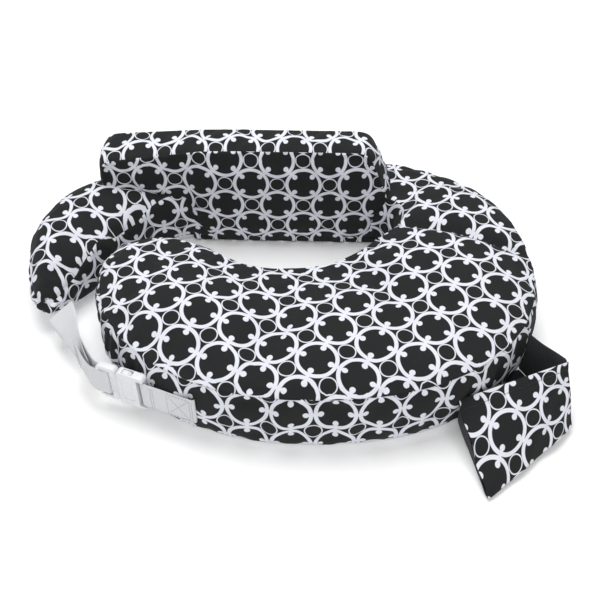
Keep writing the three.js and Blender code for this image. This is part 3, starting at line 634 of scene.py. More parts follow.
# Where the band has pleats, where the tail ends, and where the zip keeps the band flat.
left_end = np.exp(-((outline[:, 0] + 225) / 62) ** 2) * (outline[:, 1] < 60) * (outline[:, 0] > -262)
tail_tip = np.exp(-((outline[:, 0] + 312) / 40) ** 2 - ((outline[:, 1] + 20) / 60) ** 2)
by_zip = np.exp(-((outline[:, 0] + 33) / 142) ** 8) * (outline[:, 1] > 185)


def ring_bulge(share, run):
    belly = 4.0 * math.sin(math.pi * min(1, share * 1.05)) ** 0.8
    pinch = 2.0 * math.exp(-share / 0.03)
    tuck = 3.0 * max(0, (share - 0.8) / 0.2) ** 2
    fade = math.sin(math.pi * min(1, share + 0.1)) ** 0.5
    pleat = np.sin(run / 15.0 * 2 * math.pi + 1.5 * np.sin(run / 41.0) + 2.0 * share)
    slow = np.sin(run / 37.0 * 2 * math.pi + 3 * share) * 0.5
    free = belly - pinch - tuck + fade * (pleat * (2.6 * left_end + 1.2 * tail_tip) + slow * 1.2)
    return free * (1 - by_zip) - 0.5 * by_zip


RING_PRINT_ANGLE = -26
front_print = lattice(RING_PRINT_ANGLE, (-22.2572, -101.2148))
rear_print = lattice(RING_PRINT_ANGLE, (170.684, 53.598))


def top_uv(p, middle):
    rear, _ = behind_crease(middle[None])
    return (rear_print if rear[0] > 0 else front_print)(p[0], p[1])


def side_uv(run, height):
    return (run / PRINT_PITCH, height / PRINT_PITCH + 0.2)


def base_uv(p, middle):
    return (p[0] / PRINT_PITCH, p[1] / PRINT_PITCH)


band_rows = [0, 0.05, 0.12, 0.21, 0.31, 0.42, 0.53, 0.64, 0.75, 0.85, 0.93, 0.98, 1.0]
ring = padded_shell(outline, ring_top, ring_base, band_rows, ring_bulge, 7.0, top_uv, side_uv, base_uv,
                    crease_points, hem_share=0.93)
ring_place = Matrix.Translation((CENTRE[0], CENTRE[1], 0))
cover_slots = {"front": 0, "band": 0, "hem": 1, "back": 1}
cover = make_object("ring_cover", ring, ring_place, [COTTON, WHITE_COTTON], cover_slots)


def behind_zip(x, y, z):
    return y > 225 and abs(x - 5) < 145 and 22 < z < 58


puff(cover, ring, grow=0.035, pressure=3, cap=6, flat_at=behind_zip)
subdivide(cover)

# ---- Back support ----
front_left = np.array(shares(TAIL_INNER_EDGE)[-1])
front_right = np.array(shares(RIGHT_INNER_EDGE)[0])
riser_half = np.linalg.norm(front_right - front_left) / 2
riser_turn = math.atan2(*(front_right - front_left)[::-1])
riser_middle = (front_left + front_right) / 2 + CENTRE
riser_left = -riser_half - RISER_OVERHANG
RISER_PROUD = 2.5  # the front panel stands this far before the ring's own band


def riser_depth(z):
    share = np.clip((z - ARM_HEIGHT) / (RISER_HEIGHT - ARM_HEIGHT), 0, 1)
    return RISER_FOOT_DEPTH + (RISER_TOP_DEPTH - RISER_FOOT_DEPTH) * share


def riser_front(xy, d):
    lean = 3.5 * xy[:, 1] / RISER_HEIGHT
    return RISER_PROUD + lean + 3.5 * (1 - np.exp(-d / 18)) - 1.5 * np.exp(-d / 3)


def riser_back(xy, d):
    deep = riser_depth(xy[:, 1])
    low = np.clip((ARM_HEIGHT - 4 - xy[:, 1]) / 6, 0, 1)
    return -(deep * (1 - low) + 6 * low) - 3 * (1 - np.exp(-d / 18)) * (1 - low)


def riser_edge(top_left, near_left, crown):
    """The outline of the front or back face: the front's upper left corner is pulled down."""
    points = [
        (-riser_half + 4, 2), (riser_half, 2), (riser_half + 6, ARM_HEIGHT - 30),
        (riser_half + 12, ARM_HEIGHT - 6), (riser_half + 4, ARM_HEIGHT + 12),
        (riser_half - 7, ARM_HEIGHT + 40),
        (riser_half - RISER_END_FLARE, crown - 3), (riser_half - RISER_END_FLARE - 12, crown),
        (-60, crown), (-100, crown - 1),
        (-155, (crown + near_left) / 2), (riser_left + 4, near_left), (riser_left - 6, top_left),
        (riser_left - 8, ARM_HEIGHT - 6), (-riser_half + 4, ARM_HEIGHT - 10),
    ]
    return np.array(points)


def matched(points, count):
    """A closed line of a fixed number of points, so that two outlines pair up corner by corner."""
    ring_points = []
    share = count // len(points)
    for p, q in zip(points, np.roll(points, -1, 0)):
        ring_points += [p + (q - p) * i / share for i in range(share)]
    return np.array(ring_points)


def paired(front_points, back_points, step):
    """Both outlines cut at the same shares of each side, evenly along the front one."""
    closed = []
    for points in (front_points, back_points):
        dense = matched(points, 60 * len(points))
        closed.append(np.vstack([dense, dense[:1]]))
    run = np.concatenate([[0], np.cumsum(np.linalg.norm(np.diff(closed[0], axis=0), axis=1))])
    at = np.linspace(0, run[-1], int(run[-1] / step) + 1)[:-1]
    return [np.column_stack([np.interp(at, run, line[:, k]) for k in range(2)]) for line in closed]


riser_line, riser_back_line = paired(riser_edge(126, 132, 150.5), riser_edge(132, 141, 153.0), 5.0)
riser_line, riser_back_line = soften(riser_line, 4), soften(riser_back_line, 5)


def riser_bulge(share, run):
    fold = np.sin(run / 27.0 * 2 * math.pi + 5 * share) * 0.8 + np.sin(run / 61.0 * 2 * math.pi) * 0.6
    return 3.6 * math.sin(math.pi * share) - 1.4 * math.exp(-share / 0.05) + fold * math.sin(math.pi * share)


riser_print = lattice(45, (-15.168 - (riser_middle - CENTRE)[0], 106.17))


def riser_front_uv(p, middle):
    return riser_print(p[0], p[1])


def riser_band_uv(run, height):
    scale = HALF_ROOT / PRINT_PITCH
    return ((run - height) * scale, (run + height) * scale)


riser_rows = [0, 0.06, 0.16, 0.3, 0.45, 0.6, 0.75, 0.88, 0.96, 1.0]
riser_shell = padded_shell(riser_line, riser_front, riser_back, riser_rows, riser_bulge, 6.5,
                           riser_front_uv, riser_band_uv, riser_front_uv, back_line=riser_back_line)
stand = Matrix(((1, 0, 0, 0), (0, 0, -1, 0), (0, 1, 0, 0), (0, 0, 0, 1)))
riser_turned = Matrix.Rotation(riser_turn, 4, "Z") @ stand
riser_place = Matrix.Translation((riser_middle[0], riser_middle[1], 0)) @ riser_turned
riser_slots = {"front": 0, "band": 0, "back": 0}
riser = make_object("back_support_cover", riser_shell, riser_place, [COTTON], riser_slots)
puff(riser, riser_shell, grow=0.03, pressure=3, cap=6)
subdivide(riser)

# ---- Bodies ----
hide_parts("front_foam", "rear_foam", "front_top_panel", "front_outer_band", "front_inner_band",
            "front_end_band", "rear_top_panel", "tail_top_panel", "rear_outer_band", "rear_inner_band",
            "tail_inner_band", "front_base_panel", "rear_base_panel")
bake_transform(cover)
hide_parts("back_support_foam", "back_support_front_panel", "back_support_top_panel",
            "back_support_back_panel", "back_support_left_panel", "back_support_right_panel")
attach(riser, "rear_arm")


# ---- Smaller pieces: helpers ----
def finish_mesh(name, points, faces, place, material, uvs):
    mesh = bpy.data.meshes.new(name)
    mesh.from_pydata([tuple((place @ Vector(p)) * MM) for p in points], [], faces)
    layer = mesh.uv_layers.new(name="print")
    layer.data.foreach_set("uv", np.array([uv for f in uvs for uv in f], np.float32).ravel())
    mesh.materials.append(material)
    mesh.polygons.foreach_set("use_smooth", [True] * len(mesh.polygons))
    mesh.update()
    return linked(name, mesh)


def ribbon(name, spine, across, width, thickness, place, material, columns=12, ridge=0.12):
    """Webbing along a spine. across holds the width direction at each point."""
    spine = [Vector(p) for p in spine]
    count = len(spine)
    run = [0.0]
    for p, q in zip(spine, spine[1:]):
        run.append(run[-1] + (q - p).length)
    points, uvs, faces = [], [], []
    side_count = columns + 1
    for i, p in enumerate(spine):
        tangent = (spine[min(i + 1, count - 1)] - spine[max(i - 1, 0)]).normalized()
        wide = Vector(across[i]).normalized()
        normal = tangent.cross(wide).normalized()
        for face in (1, -1):
            for j in range(side_count):
                t = -1 + 2 * j / columns
                if face < 0:
                    t = -t
                round_off = (1 - abs(t) ** 10 * 0.85) * thickness / 2
                wave = ridge * math.cos(t * 6 * math.pi) * (1 - abs(t) ** 6)
                points.append(p + wide * (t * width / 2) + normal * face * (round_off + wave * 0.5))
    loop = 2 * side_count
    for i in range(count - 1):
        for j in range(loop):
            k = (j + 1) % loop
            faces.append([i * loop + j, (i + 1) * loop + j, (i + 1) * loop + k, i * loop + k])
            v0, v1 = j * width / columns / PRINT_PITCH, (j + 1) * width / columns / PRINT_PITCH
            u0, u1 = run[i] / PRINT_PITCH, run[i + 1] / PRINT_PITCH
            uvs.append([(u0, v0), (u1, v0), (u1, v1), (u0, v1)])
    for first, flip in ((0, False), ((count - 1) * loop, True)):
        for j in range(columns):
            quad = [first + j, first + j + 1, first + loop - 2 - j, first + loop - 1 - j]
            faces.append(list(reversed(quad)) if flip else quad)
            uvs.append([(0, 0), (0.01, 0), (0.01, 0.01), (0, 0.01)])
    made = finish_mesh(name, points, faces, place, material, uvs)
    outward_faces(made)
    return made


def outward_faces(obj):
    work = bmesh.new()
    work.from_mesh(obj.data)
    bmesh.ops.recalc_face_normals(work, faces=work.faces)
    work.to_mesh(obj.data)
    work.free()


def block(work, x0, x1, y0, y1, z0, z1, bevel, segments=3):
    """A rounded block added to a bmesh."""
    made = bmesh.ops.create_cube(work, size=1.0)["verts"]
    for v in made:
        v.co = Vector(((x0 + x1) / 2 + v.co.x * (x1 - x0), (y0 + y1) / 2 + v.co.y * (y1 - y0),
                       (z0 + z1) / 2 + v.co.z * (z1 - z0)))
    edges = list({e for v in made for e in v.link_edges})
    if bevel:
        bmesh.ops.bevel(work, geom=edges, offset=bevel, segments=segments, profile=0.5, affect="EDGES")


def capsule(work, a, b, radius, sides=6):
    """A thread or tooth: a short closed tube from a to b."""
    a, b = Vector(a), Vector(b)
    along = (b - a).normalized()
    first = along.orthogonal().normalized()
    second = along.cross(first)
    rings = []
    for centre, size in ((a, 0.45), (a + along * radius * 0.7, 1), (b - along * radius * 0.7, 1), (b, 0.45)):
        rings.append([work.verts.new(centre + (first * math.cos(t) + second * math.sin(t)) * radius * size)
                      for t in (2 * math.pi * i / sides for i in range(sides))])
    for low, high in zip(rings, rings[1:]):
        for i in range(sides):
            work.faces.new([low[i], low[(i + 1) % sides], high[(i + 1) % sides], high[i]])
    work.faces.new(list(reversed(rings[0])))
    work.faces.new(rings[-1])


def from_bmesh(name, work, place, material):
    for v in work.verts:
        v.co = (place @ v.co) * MM
    bmesh.ops.recalc_face_normals(work, faces=work.faces)
    mesh = bpy.data.meshes.new(name)
    work.to_mesh(mesh)
    work.free()
    mesh.uv_layers.new(name="print")
    mesh.materials.append(material)
    mesh.polygons.foreach_set("use_smooth", [True] * len(mesh.polygons))
    return linked(name, mesh)


def stitch_line(work, points, length=2.6, gap=1.1, radius=0.34):
    """Stitches along a line of points."""
    points = [Vector(p) for p in points]
    run = [0.0]
    for p, q in zip(points, points[1:]):
        run.append(run[-1] + (q - p).length)
    total = run[-1]

    def at(d):
        for i in range(len(points) - 1):
            if d <= run[i + 1] or i == len(points) - 2:
                t = (d - run[i]) / max(run[i + 1] - run[i], 1e-6)
                return points[i].lerp(points[i + 1], t)

    d = 0.0
    while d + length <= total + 0.1:
        capsule(work, at(d), at(min(d + length, total)), radius, 5)
        d += length + gap


# ---- Strap frame: x along the strap away from the pillow, y out of it, z up ----
STRAP_DIRECTION = 157.521
STRAP_START = Vector((-91.221, -159.636, STRAP_HEIGHT))
strap_place = Matrix.Translation(STRAP_START) @ Matrix.Rotation(math.radians(STRAP_DIRECTION), 4, "Z")
FEMALE_START, FEMALE_END = 58, 92
MALE_START, MALE_END = 92.4, 117.4
MALE_BAR = 106.8
FEMALE_BAR = 60
BAR, SLOT = 4, 4.6
HALF_BUCKLE, HALF_THICK = 24.5, 5.5
SLOT_HALF = 20
UP = (0, 0, 1)


def arc(cx, cy, radius, start, end, steps):
    out = []
    for i in range(steps + 1):
        a = math.radians(start + (end - start) * i / steps)
        out.append((cx + radius * math.cos(a), cy + radius * math.sin(a), 0))
    return out


fold = BAR * HALF_ROOT + 0.4 + WEBBING_THICKNESS / 2  # webbing turns round a bar at this radius
outer_run = [(x, fold + 0.25 * math.sin(x / 9), 0) for x in np.linspace(2, FEMALE_BAR, 14)]
inner_run = [(x, -fold, 0) for x in np.linspace(FEMALE_BAR - 2, FEMALE_BAR - 20, 6)]
lead = [(-1.5 + 0.4 * i, fold - 2.2 + 1.3 * i ** 0.5, 0) for i in range(3)]
path = lead + outer_run + arc(FEMALE_BAR, 0, fold, 90, -90, 10)[1:-1] + inner_run
webbing_size = (WEBBING_WIDTH, WEBBING_THICKNESS)
short = ribbon("short_strap_webbing", path, [UP] * len(path), *webbing_size, strap_place, WEBBING)

work = bmesh.new()
face = fold + WEBBING_THICKNESS / 2 + 0.25
half = WEBBING_WIDTH / 2 - 3
x0, x1 = 4, 31


def on_strap(x, z):
    return (x, face + 0.25 * math.sin(x / 9) - 0.1, z)


def strap_stitches_between(start, end, low=0.0, high=1.0):
    (xa, za), (xb, zb) = start, end
    at = np.linspace(low, high, 8)
    stitch_line(work, [on_strap(xa + (xb - xa) * t, za + (zb - za) * t) for t in at])


box = [(x0, -half), (x1, -half), (x1, half), (x0, half), (x0, -half)]
for start, end in zip(box, box[1:]):
    strap_stitches_between(start, end)
for side in (1, -1):
    strap_stitches_between((x0, -side * half), (x1, side * half), 0.04, 0.96)
for x in (1.2, FEMALE_BAR - 9, FEMALE_BAR - 12):
    strap_stitches_between((x, -half - 1), (x, half + 1))
strap_stitches = from_bmesh("short_strap_stitching", work, strap_place, THREAD)


# ---- Buckle ----
def plate_outline(x_low, x_high, half_height, round_off, steps=5):
    out = []
    left, right, high = x_low + round_off, x_high - round_off, half_height - round_off
    for cx, cz, start in ((right, high, 0), (left, high, 90), (left, -high, 180), (right, -high, 270)):
        for i in range(steps + 1):
            a = math.radians(start + 90 * i / steps)
            out.append((cx + round_off * math.cos(a), cz + round_off * math.sin(a)))
    return out


def plate(name, x_low, x_high, half_height, thickness, corner, material, edge=1.1):
    """A plate across the strap with rounded corners and softened edges."""
    work = bmesh.new()
    outline_points = plate_outline(x_low, x_high, half_height, corner)
    front_face = work.faces.new([work.verts.new((x, thickness / 2, z)) for x, z in outline_points])
    made = bmesh.ops.extrude_face_region(work, geom=[front_face])
    for v in (g for g in made["geom"] if isinstance(g, bmesh.types.BMVert)):
        v.co.y = -thickness / 2
    rims = [e for e in work.edges if abs(e.verts[0].co.y - e.verts[1].co.y) < 1e-6]
    bmesh.ops.bevel(work, geom=rims, offset=edge, segments=3, profile=0.5, affect="EDGES")
    return from_bmesh(name, work, Matrix.Identity(4), material)


def cut(obj, boxes, edge=0.7):
    """Cuts rounded boxes out of a plate, both in millimetres."""
    work = bmesh.new()
    for box in boxes:
        block(work, *box, edge, 2)
    cutter = from_bmesh("cutter", work, Matrix.Identity(4), PLASTIC)
    modifier = obj.modifiers.new("cut", "BOOLEAN")
    modifier.operation = "DIFFERENCE"
    modifier.solver = "EXACT"
    modifier.use_self = True
    modifier.object = cutter
    apply_modifiers(obj)
    bpy.data.objects.remove(cutter)


def settle(obj, place):
    """Puts a piece built in the strap frame in its place."""
    obj.data.transform(Matrix.Scale(MM, 4) @ place @ Matrix.Scale(1 / MM, 4))
    obj.data.polygons.foreach_set("use_smooth", [True] * len(obj.data.polygons))
    modifier = obj.modifiers.new("corners", "EDGE_SPLIT")
    modifier.split_angle = math.radians(40)
    apply_modifiers(obj)


def joined(name, parts):
    work = bmesh.new()
    for part in parts:
        work.from_mesh(part.data)
    mesh = bpy.data.meshes.new(name)
    work.to_mesh(mesh)
    work.free()
    mesh.materials.append(PLASTIC)
    for part in parts:
        bpy.data.objects.remove(part)
    return linked(name, mesh)


female = plate("buckle_socket", FEMALE_START, FEMALE_END, HALF_BUCKLE, 2 * HALF_THICK, 5, PLASTIC, 1.6)
far = HALF_THICK + 2
cut(female, [
    (FEMALE_START + BAR, FEMALE_START + BAR + SLOT, -far, far, -SLOT_HALF, SLOT_HALF),
    (FEMALE_START - 3, FEMALE_START + BAR + 1, 2, far, -SLOT_HALF, SLOT_HALF),
    (FEMALE_START - 3, FEMALE_START + BAR + 1, -far, -2, -SLOT_HALF, SLOT_HALF),
    (FEMALE_START + BAR + SLOT + 3, FEMALE_END + 3, -3.5, 3.5, -20.5, 20.5),
    (FEMALE_START + 14, FEMALE_END - 7, -3.5, 3.5, -30, 30),
    (FEMALE_START + 13.6, FEMALE_END - 6.2, HALF_THICK - 0.7, far, -15, 15),
    (FEMALE_START + 13.6, FEMALE_END - 6.2, -far, -HALF_THICK + 0.7, -15, 15),
])
settle(female, strap_place)

male = plate("buckle_frame", MALE_START, MALE_END, HALF_BUCKLE, 2 * HALF_THICK - 2, 5, PLASTIC, 1.5)
inner = HALF_THICK - 1
cut(male, [
    (MALE_END - BAR - SLOT, MALE_END - BAR, -far, far, -SLOT_HALF, SLOT_HALF),
    (MALE_BAR - BAR / 2 - SLOT, MALE_BAR - BAR / 2, -far, far, -SLOT_HALF, SLOT_HALF),
    (MALE_BAR - BAR / 2 - 1, MALE_BAR + BAR / 2 + 1, 2, far, -SLOT_HALF, SLOT_HALF),
    (MALE_BAR - BAR / 2 - 1, MALE_BAR + BAR / 2 + 1, -far, -2, -SLOT_HALF, SLOT_HALF),
])
work = bmesh.new()
block(work, MALE_START - 18, MALE_START + 1.5, -2.9, 2.9, -2.5, 2.5, 0.8)
for i in range(5):
    x = MALE_START + 1.6 + i * 1.25
    block(work, x, x + 0.6, inner - 0.3, inner + 0.35, -13, 13, 0.25, 2)
tongue = from_bmesh("tongue", work, Matrix.Identity(4), PLASTIC)
male_whole = joined("buckle_adjuster", [male, tongue])
settle(male_whole, strap_place)


def prong(name, side):
    """A spring prong: an arm, a barb with ribs for the thumb, and a sloped nose."""
    root, tip = MALE_START - 0.4, MALE_START - 0.4 - 22
    outer = HALF_BUCKLE - 4.4
    barb = FEMALE_END - 7.4
    profile = [(root, outer - 5), (root, outer - 1), (barb, outer - 1), (barb, HALF_BUCKLE - 0.5),
               (tip + 9, HALF_BUCKLE - 0.6), (tip + 6, HALF_BUCKLE - 1.6), (tip + 2, outer - 1.5),
               (tip, outer - 4), (tip + 1, outer - 6), (tip + 3, outer - 7), (tip + 9, outer - 6)]
    work = bmesh.new()
    near = [work.verts.new((x, -2.9, side * z)) for x, z in profile]
    away = [work.verts.new((x, 2.9, side * z)) for x, z in profile]
    work.faces.new(near)
    work.faces.new(away)
    for i in range(len(profile)):
        j = (i + 1) % len(profile)
        work.faces.new([near[i], near[j], away[j], away[i]])
    bmesh.ops.recalc_face_normals(work, faces=work.faces)
    bmesh.ops.bevel(work, geom=list(work.edges), offset=0.45, segments=2, profile=0.5, affect="EDGES")
    rib = side * (HALF_BUCKLE - 0.9)
    for i in range(4):
        x = tip + 7.4 + i * 1.5
        block(work, x, x + 0.7, -2.2, 2.2, rib - 0.45, rib + 0.45, 0.2, 2)
    made = from_bmesh(name, work, Matrix.Identity(4), PLASTIC)
    settle(made, strap_place)
    return made


upper_prong = prong("buckle_spring_upper", 1)
lower_prong = prong("buckle_spring_lower", -1)

# ---- Long strap ----
LONG_START = np.array([MALE_END + 2, 0, 0])
LONG_END = np.array([220.2, -74.1, 8])
LONG_SLACK = 0.4  # the strap turns soon after it leaves the bar
TAIL_STRAP_DIRECTION = 123  # degrees, where the strap leaves the tail


def long_line():
    """The long strap's middle line, from the male bar to the tail: one smooth bend."""
    pull = np.linalg.norm(LONG_END - LONG_START) / 3
    leave = math.radians(TAIL_STRAP_DIRECTION - STRAP_DIRECTION)
    first = LONG_START + (LONG_SLACK * pull, 0, 0)
    second = LONG_END - pull * np.array([math.cos(leave), math.sin(leave), 0])
    t = np.linspace(0, 1, 201)[:, None]
    weights = ((1 - t) ** 3, 3 * t * (1 - t) ** 2, 3 * t**2 * (1 - t), t**3)
    bend = sum(w * p for w, p in zip(weights, (LONG_START, first, second, LONG_END)))
    run = np.concatenate([[0], np.cumsum(np.linalg.norm(np.diff(bend, axis=0), axis=1))])
    at = np.concatenate([[0, 0.05], np.linspace(0.1, 1, 10)]) * run[-1]
    bend = np.column_stack([np.interp(at, run, bend[:, k]) for k in range(3)])
    return [np.array([MALE_BAR, 0, 0]), *bend]


line_points = [Vector(p) for p in spline(long_line(), 4)]


def side_of(points, offset):
    """A line beside a plan line."""
    out = []
    for i, p in enumerate(points):
        t = (points[min(i + 1, len(points) - 1)] - points[max(i - 1, 0)]).normalized()
        out.append(p + Vector((-t.y, t.x, 0)) * offset)
    return out


loop_count = 25
free_count = 24
free = list(reversed(side_of(line_points[:free_count], fold)))
turn = [Vector(p) for p in arc(MALE_BAR, 0, fold, 90, 270, 10)[1:-1]]
main = side_of(line_points[:loop_count], -fold)
loop_path = free + turn + main
loop = ribbon("strap_loop_webbing", loop_path, [UP] * len(loop_path), *webbing_size, strap_place, WEBBING)
work = bmesh.new()
for back in (2, 4):
    p = side_of(line_points[:free_count], fold + WEBBING_THICKNESS / 2 + 0.35)[-back]
    stitch_line(work, [(p.x, p.y, z) for z in np.linspace(-half - 1, half + 1, 8)])
loop_stitches = from_bmesh("strap_loop_stitching", work, strap_place, THREAD)

tail_points = [p.copy() for p in line_points[13:]]
for i, p in enumerate(tail_points):
    p.z -= 13 * (i / (len(tail_points) - 1)) ** 2
tilt = []
for i, p in enumerate(tail_points):
    share = i / (len(tail_points) - 1)
    lean = -1.15 * share ** 1.3
    t = (tail_points[min(i + 1, len(tail_points) - 1)] - tail_points[max(i - 1, 0)]).normalized()
    sideways = Vector((-t.y, t.x, 0))
    tilt.append(Vector(UP) * math.cos(lean) + sideways * math.sin(lean))
tail_web = ribbon("tail_strap_webbing", tail_points, tilt, WEBBING_WIDTH - 1, WEBBING_THICKNESS - 0.2,
                  strap_place, WEBBING)

# ---- Pocket ----
pocket_print = lattice(-44, (43, 44))


def cut_of(a, b, c, d):
    """The flat cut between four corners, from the corners alone: its width, length and area in metres."""
    across = (b - a).normalized()
    laid = [Vector((0, 0)), Vector(((b - a).length, 0))]
    up = (c - a) - across * (c - a).dot(across)
    laid.append(Vector(((c - a).dot(across), up.length)))
    # The far corner is folded out into the same plane about the line from a to c.
    spine, reach = (c - a).normalized(), d - a
    along = reach.dot(spine)
    off = (reach - spine * along).length
    line = laid[2].normalized()
    laid.append(line * along + Vector((-line.y, line.x)) * off)
    xs, ys = [p.x for p in laid], [p.y for p in laid]
    area = abs(sum(p.x * q.y - q.x * p.y for p, q in zip(laid, laid[1:] + laid[:1]))) / 2
    return (max(xs) - min(xs)) * MM, (max(ys) - min(ys)) * MM, area * MM * MM


def sheet_point(corners, u, v, off):
    """A point of the flat between four corners, moved off along its face."""
    a, b, c, d = corners
    face = ((b - a) + (c - d)).cross((d - a) + (c - b)).normalized()
    return (a * (1 - u) + b * u) * (1 - v) + (d * (1 - u) + c * u) * v + face * off


def patch(name, corners, columns, rows, relief, thickness, uv_at, material):
    """A closed sheet of cloth between four corners, and its cut. relief(u, v) moves it along its face."""
    corners = [Vector(p) for p in corners]
    a, b, c, d = corners
    wide, tall = ((b - a).length + (c - d).length) / 2, ((d - a).length + (c - b).length) / 2
    count, size = columns + 1, (rows + 1) * (columns + 1)
    points, uvs, faces = [], [], []
    for layer in (0, 1):
        for i in range(rows + 1):
            for j in range(count):
                u, v = j / columns, i / rows
                points.append(sheet_point(corners, u, v, relief(u, v) - thickness * layer))
    for layer in (0, 1):
        for i in range(rows):
            for j in range(columns):
                steps = [(j, i), (j + 1, i), (j + 1, i + 1), (j, i + 1)]
                if layer:
                    steps.reverse()
                faces.append([layer * size + y * count + x for x, y in steps])
                uvs.append([uv_at(x / columns * wide, y / rows * tall) for x, y in steps])
    border = [(0, j) for j in range(count)] + [(i, columns) for i in range(1, rows + 1)]
    border += [(rows, j) for j in range(columns - 1, -1, -1)] + [(i, 0) for i in range(rows - 1, 0, -1)]
    for (i0, j0), (i1, j1) in zip(border, border[1:] + border[:1]):
        p, q = i0 * count + j0, i1 * count + j1
        faces.append([q, p, p + size, q + size])
        uvs.append([(0.5, 0.5)] * 4)
    made = finish_mesh(name, points, faces, Matrix.Identity(4), material, uvs)
    outward_faces(made)
    subdivide(made)
    return made, cut_of(a, b, c, d)


FLOOR_LEFT, FLOOR_RIGHT = (210, -246, 2.6), (316, -157, 8)
MOUTH_LEFT, MOUTH_RIGHT = (186, -152.5, 49), (309, -114, 67)
RING_LEFT, RING_RIGHT, RING_RIGHT_TOP = (193, -146, 2.6), (273, -70, 6), (273, -70, 66)


def front_relief(u, v):
    belly = 9 * math.sin(math.pi * u) * math.sin(math.pi * min(1, 0.15 + v * 0.8))
    crumple = 1.6 * math.sin(9 * u + 6 * v) * math.sin(3 * v + 1) + 1.1 * math.sin(17 * u - 9 * v + 1)
    hem_step = -0.9 * math.exp(-((v - 0.865) / 0.018) ** 2)
    left_fold = 3.2 * math.sin(14 * v) * math.exp(-u / 0.12)
    return belly + crumple + hem_step + left_fold


def lining_uv(x, y):
    return (x / PRINT_PITCH, y / PRINT_PITCH)


def shallow(depth, ripple, phase=0.0):
    """A sheet's own relief: a shallow belly with a ripple in it."""
    def relief(u, v):
        wave = ripple * math.sin(7 * u + 5 * v + phase)
        return depth * math.sin(math.pi * u) * math.sin(math.pi * v) + wave

    return relief


def toward(p, q, amount):
    p, q = Vector(p), Vector(q)
    return tuple(p + (q - p).normalized() * amount)


FRONT_CORNERS = (FLOOR_LEFT, FLOOR_RIGHT, MOUTH_RIGHT, MOUTH_LEFT)
LEFT_CORNERS = (RING_LEFT, toward(FLOOR_LEFT, RING_LEFT, 3), toward(MOUTH_LEFT, RING_LEFT, 6),
                toward(toward(MOUTH_LEFT, RING_LEFT, 8), RING_RIGHT, 3))
RIGHT_CORNERS = (toward(FLOOR_RIGHT, RING_RIGHT, 3), RING_RIGHT, RING_RIGHT_TOP,
                 toward(MOUTH_RIGHT, RING_RIGHT_TOP, 3))
FLOOR_CORNERS = (toward(FLOOR_LEFT, MOUTH_LEFT, 2), toward(FLOOR_RIGHT, MOUTH_RIGHT, 2),
                 RING_RIGHT, RING_LEFT)

front_sheet, front_cut = patch("pocket_front_cloth", FRONT_CORNERS, 40, 34, front_relief, 1.4,
                               pocket_print, COTTON)
left_sheet, left_cut = patch("pocket_left_cloth", LEFT_CORNERS, 16, 12, shallow(-3, 0.8), 1.1,
                             lining_uv, LINING)
right_sheet, right_cut = patch("pocket_right_cloth", RIGHT_CORNERS, 18, 16, shallow(5, 0.8, 2), 1.1,
                               lining_uv, LINING)
floor_sheet, floor_cut = patch("pocket_floor_cloth", FLOOR_CORNERS, 20, 16, shallow(-1.2, 0), 1.0,
                               lining_uv, LINING)

work = bmesh.new()


def on_front(u, v, lift):
    return sheet_point([Vector(p) for p in FRONT_CORNERS], u, v, front_relief(u, v) + lift)


stitch_line(work, [on_front(u, 0.885, 0.15) for u in np.linspace(0.02, 0.98, 40)], 2.4, 1.0, 0.28)
pocket_stitches = from_bmesh("pocket_hem_stitching", work, Matrix.Identity(4), LINING)

# ---- Zip ----
ZIP_PLACE = Matrix.Translation(Vector((5.41, 229.98, 40))) @ Matrix.Rotation(math.atan2(0.0074, 1), 4, "Z")
tapes = []
for name, side in (("zip_tape_top", 1), ("zip_tape_bottom", -1)):
    spine = [(x, 0.85 + 0.15 * math.sin(x / 17), side * 6.3) for x in np.linspace(-132, 132, 60)]
    tapes.append(ribbon(name, spine, [UP] * len(spine), 11.6, 0.8, ZIP_PLACE, TAPE, columns=8, ridge=0.05))
work = bmesh.new()
for i in range(118):
    x = -118.5 + i * 2.0
    capsule(work, (x, 2.2, -1.9), (x, 2.2, 0.7), 0.75, 6)
    capsule(work, (x + 1.0, 2.2, -0.7), (x + 1.0, 2.2, 1.9), 0.75, 6)
for z in (-2.1, 2.1):
    block(work, -119.5, 119.5, 1.6, 2.5, z - 0.35, z + 0.35, 0.2, 2)
chain = from_bmesh("zip_teeth", work, ZIP_PLACE, TEETH)
stops = []
for name, x in (("zip_end_left", -121.9), ("zip_end_right", 121.9)):
    work = bmesh.new()
    block(work, x - 1.5, x + 1.5, 1.5, 3.5, -3, 3, 0.5)
    stops.append(from_bmesh(name, work, ZIP_PLACE, METAL))
SLIDER_X = 114.1  # where the slider rests along the chain
PIN_Y = 6.6  # how far the pull's pin stands off the tape


def about(work, x, half, y0, y1, z0, z1, bevel, segments=3):
    """A block that reaches half to both sides of x."""
    block(work, x - half, x + half, y0, y1, z0, z1, bevel, segments)


work = bmesh.new()
about(work, SLIDER_X, 5.5, 3.95, 5.1, -4.1, 4.1, 0.5)
for z in (-3.5, 3.5):
    about(work, SLIDER_X, 5.5, 1.55, 4.6, z - 0.6, z + 0.6, 0.25)
for side in (-1.3, 1.3):
    about(work, SLIDER_X + side, 0.3, 4.9, 8.0, -1.5, 1.5, 0.25)
slider = from_bmesh("zip_slider_casting", work, ZIP_PLACE, METAL)
work = bmesh.new()
capsule(work, (SLIDER_X - 3.1, PIN_Y, 0), (SLIDER_X + 3.1, PIN_Y, 0), 0.5, 10)
for side in (-2.5, 2.5):
    about(work, SLIDER_X + side, 0.6, PIN_Y - 0.6, PIN_Y + 0.6, -4.2, 0.6, 0.3)
for z0, z1 in ((-5.0, -3.2), (-21.8, -18.5)):
    about(work, SLIDER_X, 3.1, PIN_Y - 0.6, PIN_Y + 0.6, z0, z1, 0.4)
for side in (-2.4, 2.4):
    about(work, SLIDER_X + side, 0.7, PIN_Y - 0.6, PIN_Y + 0.6, -20, -3.6, 0.4)
